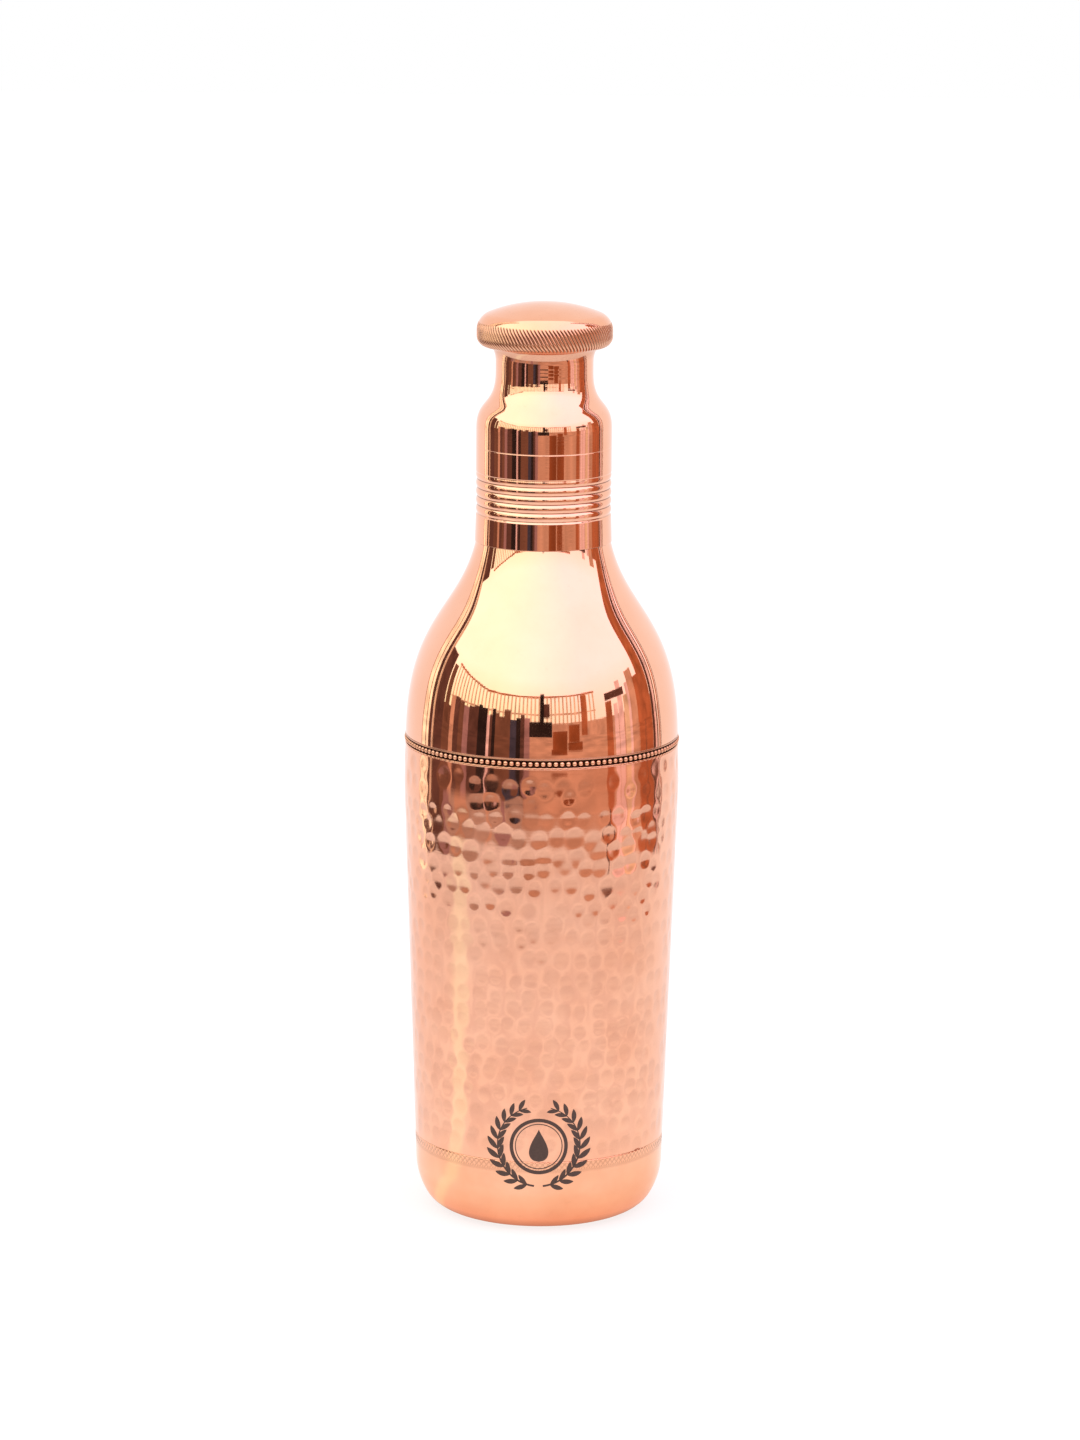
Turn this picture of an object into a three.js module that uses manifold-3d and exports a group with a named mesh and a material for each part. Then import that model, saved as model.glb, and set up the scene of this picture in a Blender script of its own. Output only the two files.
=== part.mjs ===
// Copper water bottle with a screw-in cap, standing on its foot.
// Millimetres, +Z up. The origin is the centre of the foot plane and +Z is the bottle's axis.
// Every piece is a turned or spun one, so each is a profile of [radius, height] points about +Z.
import * as THREE from "three";
import { mergeVertices } from "three/addons/utils/BufferGeometryUtils.js";
import Module from "manifold-3d";

const wasm = await Module();
wasm.setup();

// ---- driving dimensions ----

const SHEET = 0.6; // wall of the base, body and shoulder
const NECK_SHEET = 0.7; // wall of the neck sleeve
const CLEARANCE = 0.3; // gap between pieces that fit each other

// base cup
const FOOT_WIDTH = 5; // width of the flat ring that stands on the table
const DISH_DEPTH = 1.4; // how far the middle of the base is raised
const DISH_SLOPE_WIDTH = 3;
const TOE_ROUND = 9.6; // small round at the edge of the foot
const HEEL_ROUND = 22.5; // large round between the toe and the body's cone
const HEEL_TOP = 16; // height where the heel meets the cone
const BASE_CUP_HEIGHT = 23.5;

// body
const BELLY_RADIUS = 42.55; // where the body is widest
const BELLY_DROP = 13.5; // how far that is below the body's upper edge
const BODY_TAPER = 3.95; // how much narrower the body is at the top of the heel
const SEAM_LEAN = 0.25; // how much narrower it is at its upper edge
const BODY_LENGTH = 124; // between the base cup's rim and the bead ring
const LAP = 6; // how far the body's ends reach into their neighbours
const BEAD_RING_HEIGHT = 3.4;
const BEAD_RING_PROUD = 0.05;

// shoulder
const SHOULDER_HEIGHT = 59.6; // from the bead ring to the neck sleeve's edge
const SHOULDER_INSET = 0.1; // the shoulder's skirt is this much smaller than the seam
const SHOULDER_FULLNESS = 0.6; // how far up the shoulder keeps its width, as a share of its height
const SHOULDER_LEAN = 0.7; // how far the skirt leans in over that stretch
const SHOULDER_SWEEP = 0.37; // how far down the neck's curve reaches, as a share of the height
const SHOULDER_FLARE = 5; // how far the neck's curve spreads over that stretch
const STUB_LENGTH = 10; // the part of the shoulder that reaches up into the neck sleeve

// neck sleeve
const COLLAR_RADIUS = 20.85;
const COLLAR_HEIGHT = 14.3;
const SKIRT_SPREAD = 0.25; // the sleeve's lower edge is this much wider than the collar
const SKIRT_HEIGHT = 8.6;
const RIB_INSET = 0.15; // the ribs are this much narrower than the collar
const RIB_COUNT = 4;
const RIB_PITCH = 2.65;
const RIB_GROOVE_DEPTH = 0.3;
const NECK_RADIUS = 15;
const NECK_SHOULDER_HEIGHT = 17.3; // from the collar to the narrow neck
const NECK_SHOULDER_DROP = 9; // how far the collar's edge runs on before it turns in
const NECK_SHOULDER_RISE = 11; // how far the narrow neck's curve runs down
const NECK_LENGTH = 3.2; // the plain narrow stretch below the lip
const LIP_FLARE = 1.8; // how far the lip stands out from the narrow neck
const LIP_FLARE_HEIGHT = 4.4;
const LIP_EDGE = 1.2; // thickness of the lip's rolled edge

// mouth thread
const BUSH_WALL = 1.3; // behind its thread
const THREAD_DEPTH = 0.9;
const THREAD_LEAD = 4; // rise in one turn
const THREAD_TURNS = 2;
const THREAD_FOOT_HALF = 1.15; // half the ridge's height at its foot
const THREAD_CREST_HALF = 0.6; // and at its crest
const BUSH_SKIRT = 2; // the bush's plain part below its thread
const BUSH_DROP = 0.9; // the bush's top lies this far below the lip

// cap
const GASKET_THICKNESS = 1.3;
const GASKET_STRETCH_GAP = 0.5; // between the gasket's hole and the plug's plain neck
const CAP_SHEET = 0.6;
const CAP_HEIGHT = 13.6; // from the rolled edge to the top of the dome
const CAP_DOME_RADIUS = 47;
const CAP_EDGE_ROUND = 5.6; // between the rim and the dome
const CAP_CURL_ROUND = 3.3; // between the rim and the rolled edge
const CAP_EDGE_FLAT = 0.25; // width of the rolled edge's flat part
const CAP_LIP_GAP = 0.5; // between the rolled edge and the bottle's lip
const FLANGE_THICKNESS = 1.2;
const PLUG_WALL = 1.2;
const PLUG_CHAMFER = 1;

// facets of the round pieces
const BODY_FACETS = 40;
const NECK_FACETS = 32;

// ---- heights worked out from them ----

const BODY_TOP = BASE_CUP_HEIGHT + BODY_LENGTH;
const BELLY = BODY_TOP - BELLY_DROP;
const BEAD_RING_BOTTOM = BODY_TOP + CLEARANCE;
const BEAD_RING_TOP = BEAD_RING_BOTTOM + BEAD_RING_HEIGHT;
const SHOULDER_BOTTOM = BEAD_RING_TOP + CLEARANCE;
const SHOULDER_TOP = SHOULDER_BOTTOM + SHOULDER_HEIGHT;
const SLEEVE_BOTTOM = SHOULDER_TOP + CLEARANCE;
const RIBS_BOTTOM = SLEEVE_BOTTOM + SKIRT_HEIGHT;
const COLLAR_BOTTOM = RIBS_BOTTOM + RIB_COUNT * RIB_PITCH + RIB_PITCH / 2;
const COLLAR_TOP = COLLAR_BOTTOM + COLLAR_HEIGHT;
const NECK_BOTTOM = COLLAR_TOP + NECK_SHOULDER_HEIGHT;
const NECK_TOP = NECK_BOTTOM + NECK_LENGTH;
const LIP_TOP = NECK_TOP + LIP_FLARE_HEIGHT + LIP_EDGE;
const BUSH_TOP = LIP_TOP - BUSH_DROP;
const GASKET_BOTTOM = LIP_TOP + CLEARANCE;
const FLANGE_BOTTOM = GASKET_BOTTOM + GASKET_THICKNESS + CLEARANCE;
const CAP_BOTTOM = FLANGE_BOTTOM + CLEARANCE - CAP_CURL_ROUND;
const THREAD_HALF = (THREAD_LEAD * THREAD_TURNS) / 2 + THREAD_FOOT_HALF;
const BUSH_THREAD = BUSH_TOP - CLEARANCE - THREAD_HALF; // middle of the bush's ridge
const PLUG_THREAD = BUSH_THREAD - THREAD_LEAD / 2; // the plug's ridge runs between its turns
const PLUG_BOTTOM = PLUG_THREAD - THREAD_HALF - CLEARANCE - PLUG_CHAMFER;

// ---- radii worked out from them ----

const BODY_RADIUS = BELLY_RADIUS - BODY_TAPER;
const SEAM_RADIUS = BELLY_RADIUS - SEAM_LEAN;
const SPIGOT_STEP = SHEET + CLEARANCE;
const SKIRT_RADIUS = COLLAR_RADIUS + SKIRT_SPREAD;
const RIB_RADIUS = COLLAR_RADIUS - RIB_INSET;
const STUB_RADIUS = RIB_RADIUS - NECK_SHEET - CLEARANCE;
const LIP_RADIUS = NECK_RADIUS + LIP_FLARE;
const BUSH_RADIUS = NECK_RADIUS - NECK_SHEET - CLEARANCE;
const THREAD_RADIUS = BUSH_RADIUS - BUSH_WALL - CLEARANCE; // crest of the plug's thread
const PLUG_RADIUS = THREAD_RADIUS - THREAD_DEPTH;
const CAP_RADIUS = LIP_RADIUS + CAP_LIP_GAP + CAP_EDGE_FLAT + CAP_CURL_ROUND;

// The body's outer surface: a cone from the heel to the belly, which then leans in to the seam.
function bodyRadius(z) {
  if (z < BELLY) return BODY_RADIUS + ((BELLY_RADIUS - BODY_RADIUS) * (z - HEEL_TOP)) / (BELLY - HEEL_TOP);
  return BELLY_RADIUS - (BELLY_RADIUS - SEAM_RADIUS) * ((z - BELLY) / BELLY_DROP) ** 2;
}

// ---- profiles ----

// Points on an arc about [r, z] from one angle to the other, in radians, both ends included.
function arc(r, z, radius, from, to, steps) {
  const points = [];
  for (let i = 0; i <= steps; i++) {
    const angle = from + ((to - from) * i) / steps;
    points.push([r + radius * Math.cos(angle), z + radius * Math.sin(angle)]);
  }
  return points;
}

// Points on a cubic curve from one end to the other, with its two handles between them.
function sweep(start, handleA, handleB, end, steps) {
  const curve = new THREE.CubicBezierCurve(
    new THREE.Vector2(...start),
    new THREE.Vector2(...handleA),
    new THREE.Vector2(...handleB),
    new THREE.Vector2(...end),
  );
  return curve.getPoints(steps).map((p) => [p.x, p.y]);
}

// The shoulder's outer line, from the seam up to the neck sleeve's edge.
function shoulderLine() {
  const skirt = SEAM_RADIUS - SHOULDER_INSET;
  const throat = SKIRT_RADIUS - CLEARANCE;
  return sweep(
    [skirt, SHOULDER_BOTTOM],
    [skirt - SHOULDER_LEAN, SHOULDER_BOTTOM + SHOULDER_FULLNESS * SHOULDER_HEIGHT],
    [throat + SHOULDER_FLARE, SHOULDER_TOP - SHOULDER_SWEEP * SHOULDER_HEIGHT],
    [throat, SHOULDER_TOP],
    12,
  );
}

// The radius of a rising line of points at one height.
function radiusOn(line, z) {
  const i = Math.max(1, line.findIndex((point) => point[1] >= z));
  const [a, b] = [line[i - 1], line[i]];
  return a[0] + ((b[0] - a[0]) * (z - a[1])) / (b[1] - a[1]);
}

// The profile moved to its left by one wall, with mitred corners. A point on the axis stays on it.
function offset(profile, wall) {
  const side = (a, b) => {
    const length = Math.hypot(b[0] - a[0], b[1] - a[1]);
    return [-(b[1] - a[1]) / length, (b[0] - a[0]) / length];
  };
  return profile.map((point, i) => {
    const before = side(profile[Math.max(i - 1, 0)], profile[Math.max(i, 1)]);
    const last = profile.length - 1;
    const after = side(profile[Math.min(i, last - 1)], profile[Math.min(i + 1, last)]);
    const share = wall / (1 + before[0] * after[0] + before[1] * after[1]);
    const r = point[0] + share * (before[0] + after[0]);
    return [point[0] === 0 ? 0 : r, point[1] + share * (before[1] + after[1])];
  });
}

// A sheet of one wall: the outer profile and the same line one wall inside it, starting on the
// axis where the sheet reaches it.
function sheet(outer, wall) {
  const inner = offset(outer, wall).reverse();
  return outer[0][0] === 0 ? [...outer, ...inner] : [...inner, ...outer];
}

// ---- solids ----

// A profile turned about +Z. One that doesn't touch the axis closes on itself.
function turned(profile, facets) {
  const closed = profile[0][0] === 0 ? profile : [...profile, profile[0]];
  const points = closed.map(([r, z]) => new THREE.Vector2(r, z));
  const geometry = new THREE.LatheGeometry(points, facets);
  return geometry.rotateX(Math.PI / 2);
}

function solid(geometry) {
  geometry.deleteAttribute("normal");
  geometry.deleteAttribute("uv");
  const merged = mergeVertices(geometry, 1e-4);
  const mesh = new wasm.Mesh({
    numProp: 3,
    vertProperties: merged.attributes.position.array,
    triVerts: new Uint32Array(merged.index.array),
  });
  return new wasm.Manifold(mesh);
}

function geometryOf(manifold) {
  const { vertProperties, triVerts } = manifold.getMesh();
  const geometry = new THREE.BufferGeometry();
  geometry.setAttribute("position", new THREE.BufferAttribute(vertProperties, 3));
  geometry.setIndex(new THREE.BufferAttribute(triVerts, 1));
  geometry.computeVertexNormals();
  return geometry;
}

// A right-hand thread ridge about +Z. It stands on the radius foot and rises to the radius crest,
// inwards or outwards, and both of its ends fade into the wall over a quarter of a turn.
function threadRidge(foot, crest, middle) {
  const steps = Math.round(THREAD_TURNS * NECK_FACETS);
  const fade = NECK_FACETS / 4;
  const outwards = Math.sign(crest - foot);
  const buried = foot - outwards * CLEARANCE;
  const positions = [];
  const index = [];
  for (let i = 0; i <= steps; i++) {
    const angle = (2 * Math.PI * i) / NECK_FACETS;
    const z = middle + THREAD_LEAD * (i / NECK_FACETS - THREAD_TURNS / 2);
    const height = Math.min(1, (i + 0.5) / fade, (steps - i + 0.5) / fade);
    const top = buried + (crest - buried) * height;
    const crestHalf = THREAD_CREST_HALF * height;
    const section = [
      [buried, -THREAD_FOOT_HALF],
      [top, -crestHalf],
      [top, crestHalf],
      [buried, THREAD_FOOT_HALF],
    ];
    for (const [r, dz] of section) positions.push(r * Math.cos(angle), r * Math.sin(angle), z + dz);
  }
  const quad = (a, b, c, d) => {
    const order = outwards > 0 ? [a, b, c, a, c, d] : [a, c, b, a, d, c];
    index.push(...order);
  };
  for (let i = 0; i < steps; i++) {
    for (let k = 0; k < 4; k++) {
      const next = (k + 1) % 4;
      quad(4 * i + k, 4 * i + 4 + k, 4 * i + 4 + next, 4 * i + next);
    }
  }
  quad(0, 1, 2, 3);
  const end = 4 * steps;
  quad(end + 3, end + 2, end + 1, end);
  const geometry = new THREE.BufferGeometry();
  geometry.setAttribute("position", new THREE.Float32BufferAttribute(positions, 3));
  geometry.setIndex(index);
  return solid(geometry);
}

// ---- pieces ----

// Spun base: a raised middle, a flat ring to stand on, a two-round heel and the start of the cone.
function baseCup() {
  const heelCentre = BODY_RADIUS - HEEL_ROUND;
  const reach = Math.sqrt((HEEL_ROUND - TOE_ROUND) ** 2 - (HEEL_TOP - TOE_ROUND) ** 2);
  const toeCentre = heelCentre + reach;
  const blend = -Math.atan2(HEEL_TOP - TOE_ROUND, reach);
  const flatStart = toeCentre - FOOT_WIDTH;
  const outer = [
    [0, DISH_DEPTH],
    [flatStart - DISH_SLOPE_WIDTH, DISH_DEPTH],
    [flatStart, 0],
    ...arc(toeCentre, TOE_ROUND, TOE_ROUND, -Math.PI / 2, blend, 4),
    ...arc(heelCentre, HEEL_TOP, HEEL_ROUND, blend, 0, 4).slice(1),
    [bodyRadius(BASE_CUP_HEIGHT), BASE_CUP_HEIGHT],
  ];
  return turned(sheet(outer, SHEET), BODY_FACETS);
}

// Hammered tube, joggled in at both ends to enter the base cup and the shoulder.
function bodyShell() {
  const low = BASE_CUP_HEIGHT + CLEARANCE;
  const spigotTop = SHOULDER_BOTTOM + LAP;
  const outer = [
    [bodyRadius(low - LAP) - SPIGOT_STEP, low - LAP],
    [bodyRadius(low) - SPIGOT_STEP, low],
    [bodyRadius(low), low],
    [BELLY_RADIUS, BELLY],
    [bodyRadius(BODY_TOP - BELLY_DROP / 2), BODY_TOP - BELLY_DROP / 2],
    [SEAM_RADIUS, BODY_TOP],
    [SEAM_RADIUS - SPIGOT_STEP, BODY_TOP],
    [radiusOn(shoulderLine(), SHOULDER_BOTTOM) - SPIGOT_STEP, SHOULDER_BOTTOM],
    [radiusOn(shoulderLine(), spigotTop) - SPIGOT_STEP, spigotTop],
  ];
  return turned(sheet(outer, SHEET), BODY_FACETS);
}

// Decorated strip around the body's upper spigot, almost flush with the body.
function beadRing() {
  const inner = SEAM_RADIUS - SHEET;
  const outer = SEAM_RADIUS + BEAD_RING_PROUD;
  const profile = [
    [inner, BEAD_RING_BOTTOM],
    [outer, BEAD_RING_BOTTOM],
    [outer, BEAD_RING_TOP],
    [inner, BEAD_RING_TOP],
  ];
  return turned(profile, BODY_FACETS);
}

// Spun shoulder: one flowing curve from the body to the neck, then a stub for the neck sleeve.
function shoulderShell() {
  const outer = [
    ...shoulderLine(),
    [STUB_RADIUS, SHOULDER_TOP],
    [STUB_RADIUS, SHOULDER_TOP + STUB_LENGTH],
  ];
  return turned(sheet(outer, SHEET), BODY_FACETS);
}

// The grooves between the ribs, each a shallow vee in the sleeve's outer line.
function ribPoints() {
  const points = [];
  for (let i = 0; i < RIB_COUNT; i++) {
    const z = RIBS_BOTTOM + RIB_PITCH * (i + 1);
    points.push([RIB_RADIUS, z - RIB_PITCH / 4]);
    points.push([RIB_RADIUS - RIB_GROOVE_DEPTH, z]);
    points.push([RIB_RADIUS, z + RIB_PITCH / 4]);
  }
  return points;
}

// Spun neck: skirt over the stub, ribs, collar, rounded shoulder, narrow neck and flared lip.
function neckSleeve() {
  const skirt = [
    [SKIRT_RADIUS, SLEEVE_BOTTOM],
    [RIB_RADIUS, RIBS_BOTTOM],
  ];
  const neck = [
    [COLLAR_RADIUS, COLLAR_BOTTOM],
    ...sweep(
      [COLLAR_RADIUS, COLLAR_TOP],
      [COLLAR_RADIUS, COLLAR_TOP + NECK_SHOULDER_DROP],
      [NECK_RADIUS, NECK_BOTTOM - NECK_SHOULDER_RISE],
      [NECK_RADIUS, NECK_BOTTOM],
      9,
    ),
  ];
  const flare = sweep(
    [NECK_RADIUS, NECK_TOP],
    [NECK_RADIUS, NECK_TOP + LIP_FLARE_HEIGHT / 2],
    [LIP_RADIUS - (LIP_RADIUS - NECK_RADIUS) / 2, NECK_TOP + LIP_FLARE_HEIGHT],
    [LIP_RADIUS, NECK_TOP + LIP_FLARE_HEIGHT],
    4,
  );
  const outer = [...skirt, ...ribPoints(), ...neck, ...flare, [LIP_RADIUS, LIP_TOP]];
  const bore = NECK_RADIUS - NECK_SHEET;
  const inner = [
    ...offset([...skirt, ...neck], NECK_SHEET),
    [bore, NECK_TOP + LIP_FLARE_HEIGHT / 2],
    [bore + CLEARANCE, LIP_TOP],
  ];
  return turned([...outer, ...inner.reverse()], NECK_FACETS);
}

// Bush brazed inside the narrow neck. Its thread stands inwards.
function threadBush() {
  const boreRadius = THREAD_RADIUS + CLEARANCE;
  const crest = boreRadius - THREAD_DEPTH;
  const bottom = BUSH_THREAD - THREAD_HALF - BUSH_SKIRT;
  const profile = [
    [boreRadius, bottom],
    [BUSH_RADIUS, bottom],
    [BUSH_RADIUS, BUSH_TOP],
    [boreRadius, BUSH_TOP],
  ];
  const tube = solid(turned(profile, NECK_FACETS));
  return geometryOf(tube.add(threadRidge(boreRadius, crest, BUSH_THREAD)));
}

// Soft ring between the plug's flange and the lip.
function gasket() {
  const inner = PLUG_RADIUS + GASKET_STRETCH_GAP;
  const profile = [
    [inner, GASKET_BOTTOM],
    [LIP_RADIUS, GASKET_BOTTOM],
    [LIP_RADIUS, GASKET_BOTTOM + GASKET_THICKNESS],
    [inner, GASKET_BOTTOM + GASKET_THICKNESS],
  ];
  return turned(profile, NECK_FACETS);
}

// Pressed cover: a rolled edge under the flange, an upright rim and a shallow dome.
function capShell() {
  const top = CAP_BOTTOM + CAP_HEIGHT;
  const domeCentre = top - CAP_DOME_RADIUS;
  const edgeCentre = CAP_RADIUS - CAP_EDGE_ROUND;
  const rise = Math.sqrt((CAP_DOME_RADIUS - CAP_EDGE_ROUND) ** 2 - edgeCentre ** 2);
  const blend = Math.atan2(rise, edgeCentre);
  const curlCentre = CAP_RADIUS - CAP_CURL_ROUND;
  const dome = arc(0, domeCentre, CAP_DOME_RADIUS, blend, Math.PI / 2, 6).slice(1, -1);
  const outer = [
    [LIP_RADIUS + CAP_LIP_GAP, CAP_BOTTOM],
    ...arc(curlCentre, CAP_BOTTOM + CAP_CURL_ROUND, CAP_CURL_ROUND, -Math.PI / 2, 0, 4),
    ...arc(edgeCentre, domeCentre + rise, CAP_EDGE_ROUND, 0, blend, 4),
    ...dome,
    [0, top],
  ];
  return turned(sheet(outer, CAP_SHEET), NECK_FACETS);
}

// Turned plug: a flange held in the cap's rolled edge, and a hollow threaded stem closed below.
function capPlug() {
  const flangeRadius = CAP_RADIUS - CAP_SHEET - CLEARANCE;
  const hollow = PLUG_RADIUS - PLUG_WALL;
  const profile = [
    [0, PLUG_BOTTOM],
    [PLUG_RADIUS - PLUG_CHAMFER, PLUG_BOTTOM],
    [PLUG_RADIUS, PLUG_BOTTOM + PLUG_CHAMFER],
    [PLUG_RADIUS, FLANGE_BOTTOM],
    [flangeRadius, FLANGE_BOTTOM],
    [flangeRadius, FLANGE_BOTTOM + FLANGE_THICKNESS],
    [hollow, FLANGE_BOTTOM + FLANGE_THICKNESS],
    [hollow, PLUG_BOTTOM + PLUG_WALL],
    [0, PLUG_BOTTOM + PLUG_WALL],
  ];
  const stem = solid(turned(profile, NECK_FACETS));
  return geometryOf(stem.add(threadRidge(PLUG_RADIUS, THREAD_RADIUS, PLUG_THREAD)));
}

// ---- materials and assembly ----

function polishedCopper(color, roughness) {
  return new THREE.MeshStandardMaterial({ color, roughness, metalness: 1 });
}

const brass = new THREE.MeshStandardMaterial({ color: 0xc9a25c, roughness: 0.3, metalness: 1 });
const silicone = new THREE.MeshStandardMaterial({ color: 0xf0efe9, roughness: 0.6, metalness: 0 });

const bottle = new THREE.Group();

function place(name, geometry, material) {
  const mesh = new THREE.Mesh(geometry, material);
  mesh.name = name;
  bottle.add(mesh);
}

place("base_cup", baseCup(), polishedCopper(0xe8a07c, 0.12));
place("body_shell", bodyShell(), polishedCopper(0xe59a75, 0.16));
place("bead_ring", beadRing(), polishedCopper(0xc98461, 0.25));
place("shoulder_shell", shoulderShell(), polishedCopper(0xe8a07c, 0.05));
place("neck_sleeve", neckSleeve(), polishedCopper(0xe8a07c, 0.06));
place("thread_bush", threadBush(), brass);
place("cap_shell", capShell(), polishedCopper(0xe29a72, 0.1));
place("cap_plug", capPlug(), brass);
place("gasket", gasket(), silicone);

export default bottle;
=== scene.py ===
"""A hammered copper water bottle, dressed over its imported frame.

Profiles are lines of [radius, height] points in millimetres, turned about the bottle's axis, +Z up.
Blender's own units are metres.
"""
import random
from math import atan2, cos, degrees, pi, radians, sin, sqrt, tan, tau

import bpy
import numpy as np
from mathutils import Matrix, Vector


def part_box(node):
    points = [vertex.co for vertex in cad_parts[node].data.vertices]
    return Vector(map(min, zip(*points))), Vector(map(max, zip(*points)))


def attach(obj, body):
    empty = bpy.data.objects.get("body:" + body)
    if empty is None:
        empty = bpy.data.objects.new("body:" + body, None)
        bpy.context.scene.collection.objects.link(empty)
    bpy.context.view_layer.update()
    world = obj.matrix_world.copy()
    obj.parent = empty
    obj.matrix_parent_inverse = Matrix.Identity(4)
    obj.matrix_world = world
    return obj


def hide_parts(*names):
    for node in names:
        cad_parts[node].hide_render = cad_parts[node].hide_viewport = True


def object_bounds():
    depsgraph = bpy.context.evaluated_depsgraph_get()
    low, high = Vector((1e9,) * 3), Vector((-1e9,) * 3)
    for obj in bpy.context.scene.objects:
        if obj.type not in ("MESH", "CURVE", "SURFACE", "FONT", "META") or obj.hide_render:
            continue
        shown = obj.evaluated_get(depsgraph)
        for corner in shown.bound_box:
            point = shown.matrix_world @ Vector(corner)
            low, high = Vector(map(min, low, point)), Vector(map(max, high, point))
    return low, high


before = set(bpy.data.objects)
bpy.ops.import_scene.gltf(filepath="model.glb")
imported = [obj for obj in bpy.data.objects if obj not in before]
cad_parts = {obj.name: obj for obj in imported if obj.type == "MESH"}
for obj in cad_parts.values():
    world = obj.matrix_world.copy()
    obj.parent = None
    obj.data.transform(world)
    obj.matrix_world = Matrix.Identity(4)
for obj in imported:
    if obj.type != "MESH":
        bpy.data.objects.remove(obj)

cad_low, cad_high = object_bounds()

MM = 0.001

# ---- sizes, in millimetres ----

WALL = 0.6  # base, body, shoulder and cap
NECK_WALL = 0.7
SEAM_STEP = 0.9  # how far a piece steps in where it enters its neighbour

FOOT_WIDTH = 5.0
DISH_DEPTH = 1.4
DISH_SLOPE_WIDTH = 3.0
TOE_ROUND = 9.6
HEEL_ROUND = 22.5
HEEL_TOP = 16.0
BODY_TAPER = 3.95
BELLY_DROP = 13.5
SEAM_LEAN = 0.25
STRIP_LAP = 0.15  # how far the body runs in behind the beaded strip

RIM_CHAMFER = 0.12
BAND_HEIGHT = 2.8  # rolled band at the base cup's rim
BAND_PITCH = 1.7  # drawn about twice as coarse as real ones, which are too fine to show
BAND_DEPTH = 0.08
# painted shade in the band's rolled lines
BAND_PAINTED_SHADE = 0.42
BAND_LINE = 0.17  # half width of a rolled line, as a part of the pitch

BLOW_PITCH = 5.5  # between rows of hammer blows
BLOWS_AROUND = 47
BLOW_REACH = 2.55  # radius of one mark
FIRST_BLOWS = 4.2  # from the body's top edge down to the first row
LAST_BLOWS = 3.5  # no row comes closer to the base cup than this
DEEP_BLOW = 0.22  # depth of a mark under the seam
SHALLOW_BLOW = 0.115  # and from the middle down
DISH_SHADE = 0.1  # painted shade inside the marks, most at their upper edge
BODY_ROWS = 166  # of the mesh, fine enough for the marks
BODY_COLUMNS = 480
SPARSE_ROWS = 2  # rows under the seam where some blows are missing

BEADS = 137
BEAD_SIZE = 1.74
BEAD_SPAN = radians(118)  # how far round its side a bead goes before it meets the strip
BEAD_UNSHADED = 0.32  # the part of that left bright, without painted shade
RAIL_HEIGHT = 0.42  # plain edges of the beaded strip
BEAD_FLOOR = 0.75  # how far the strip's middle lies below them

SHOULDER_INSET = 0.1
SHOULDER_FULLNESS = 0.6
SHOULDER_LEAN = 0.7
SHOULDER_SWEEP = 0.37
SHOULDER_FLARE = 5.0
THROAT_GAP = 0.3
STUB_LENGTH = 10.0
STUB_RADIUS = 19.7

SKIRT_SPREAD = 0.25
SKIRT_HEIGHT = 8.6
RIB_INSET = 0.15
RIBS = 4
RIB_PITCH = 2.65
RIB_BULGE = 0.34
RIB_RISE = 0.12
RIB_STEPS = 24
GROOVE_WIDTH = 0.34
GROOVE_DEPTH = 0.16
# painted shade in the grooves between the ribs
GROOVE_PAINTED_SHADE = 0.75
RIBBED_HEIGHT = 14.0
# painted shade on the lip's flare, under the cap's rim
FLARE_PAINTED_SHADE = 0.2
COLLAR_HEIGHT = 14.3
SCRIBE_HEIGHT = 8.7  # scribed line above the collar's lower edge
SCRIBE_DEPTH = 0.07
NECK_SHOULDER_HEIGHT = 17.3
NECK_SHOULDER_DROP = 9.0
NECK_SHOULDER_RISE = 11.0
NECK_LENGTH = 3.2
TOOL_MARK_PITCH = 1.1  # turning marks on the narrow neck
TOOL_MARK_DEPTH = 0.014
LIP_FLARE = 1.8
LIP_FLARE_HEIGHT = 4.4

THREAD_DEPTH = 0.9
THREAD_LEAD = 4.0
THREAD_TURNS = 2.0
THREAD_FOOT_HALF = 1.15
THREAD_CREST_HALF = 0.6
BUSH_WALL = 1.3
THREAD_GAP = 0.3
PLUG_WALL = 1.2
PLUG_CHAMFER = 1.0
FLANGE_THICKNESS = 1.2

CAP_DOME_RADIUS = 47.0
CAP_EDGE_ROUND = 5.6
CAP_CURL_ROUND = 3.3
CAP_EDGE_FLAT = 0.25
KNURL_LINES = 112  # real caps have about 170, which are too fine to show
KNURL_BOTTOM = 0.35  # above the cap's lower edge
KNURL_HEIGHT = 7.3
KNURL_SHIFT = 4.1  # how far one line runs around over that height
KNURL_DEPTH = 0.24
# painted shade in the knurl's grooves
KNURL_PAINTED_SHADE = 0.72
KNURL_SECTION = (0.0, 0.0, 0.55, 1.0, 0.55, 0.0)  # depth across one line, from crest to crest

MARK_HEIGHT = 28.7  # middle of the printed mark above the foot
MARK_FILM = 0.06
MARK_RING = 8.4  # radius of its ring, middle of the line
MARK_LINE = 0.55  # half the width of the ring's line
MARK_THIN_LINE = 0.14  # and of the thin one inside it
DROP_WIDTH = 8.4
DROP_FOOT = -4.9  # from the middle of the mark
DROP_HEIGHT = 10.4
WREATH_RADIUS = 12.8
LEAF_PAIRS = 11
FIRST_LEAF = -74  # degrees around the wreath
LEAF_STEP = 13.6
LEAF_LEAN = 34
LEAF_LENGTH = 5.2
LEAF_WIDTH = 1.7


# ---- heights and radii from the frame ----


def levels(node):
    """A node's lowest and highest level, in millimetres."""
    low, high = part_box(node)
    return low.z / MM, high.z / MM


def widest(node):
    """A node's largest radius, in millimetres."""
    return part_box(node)[1].x / MM


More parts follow.
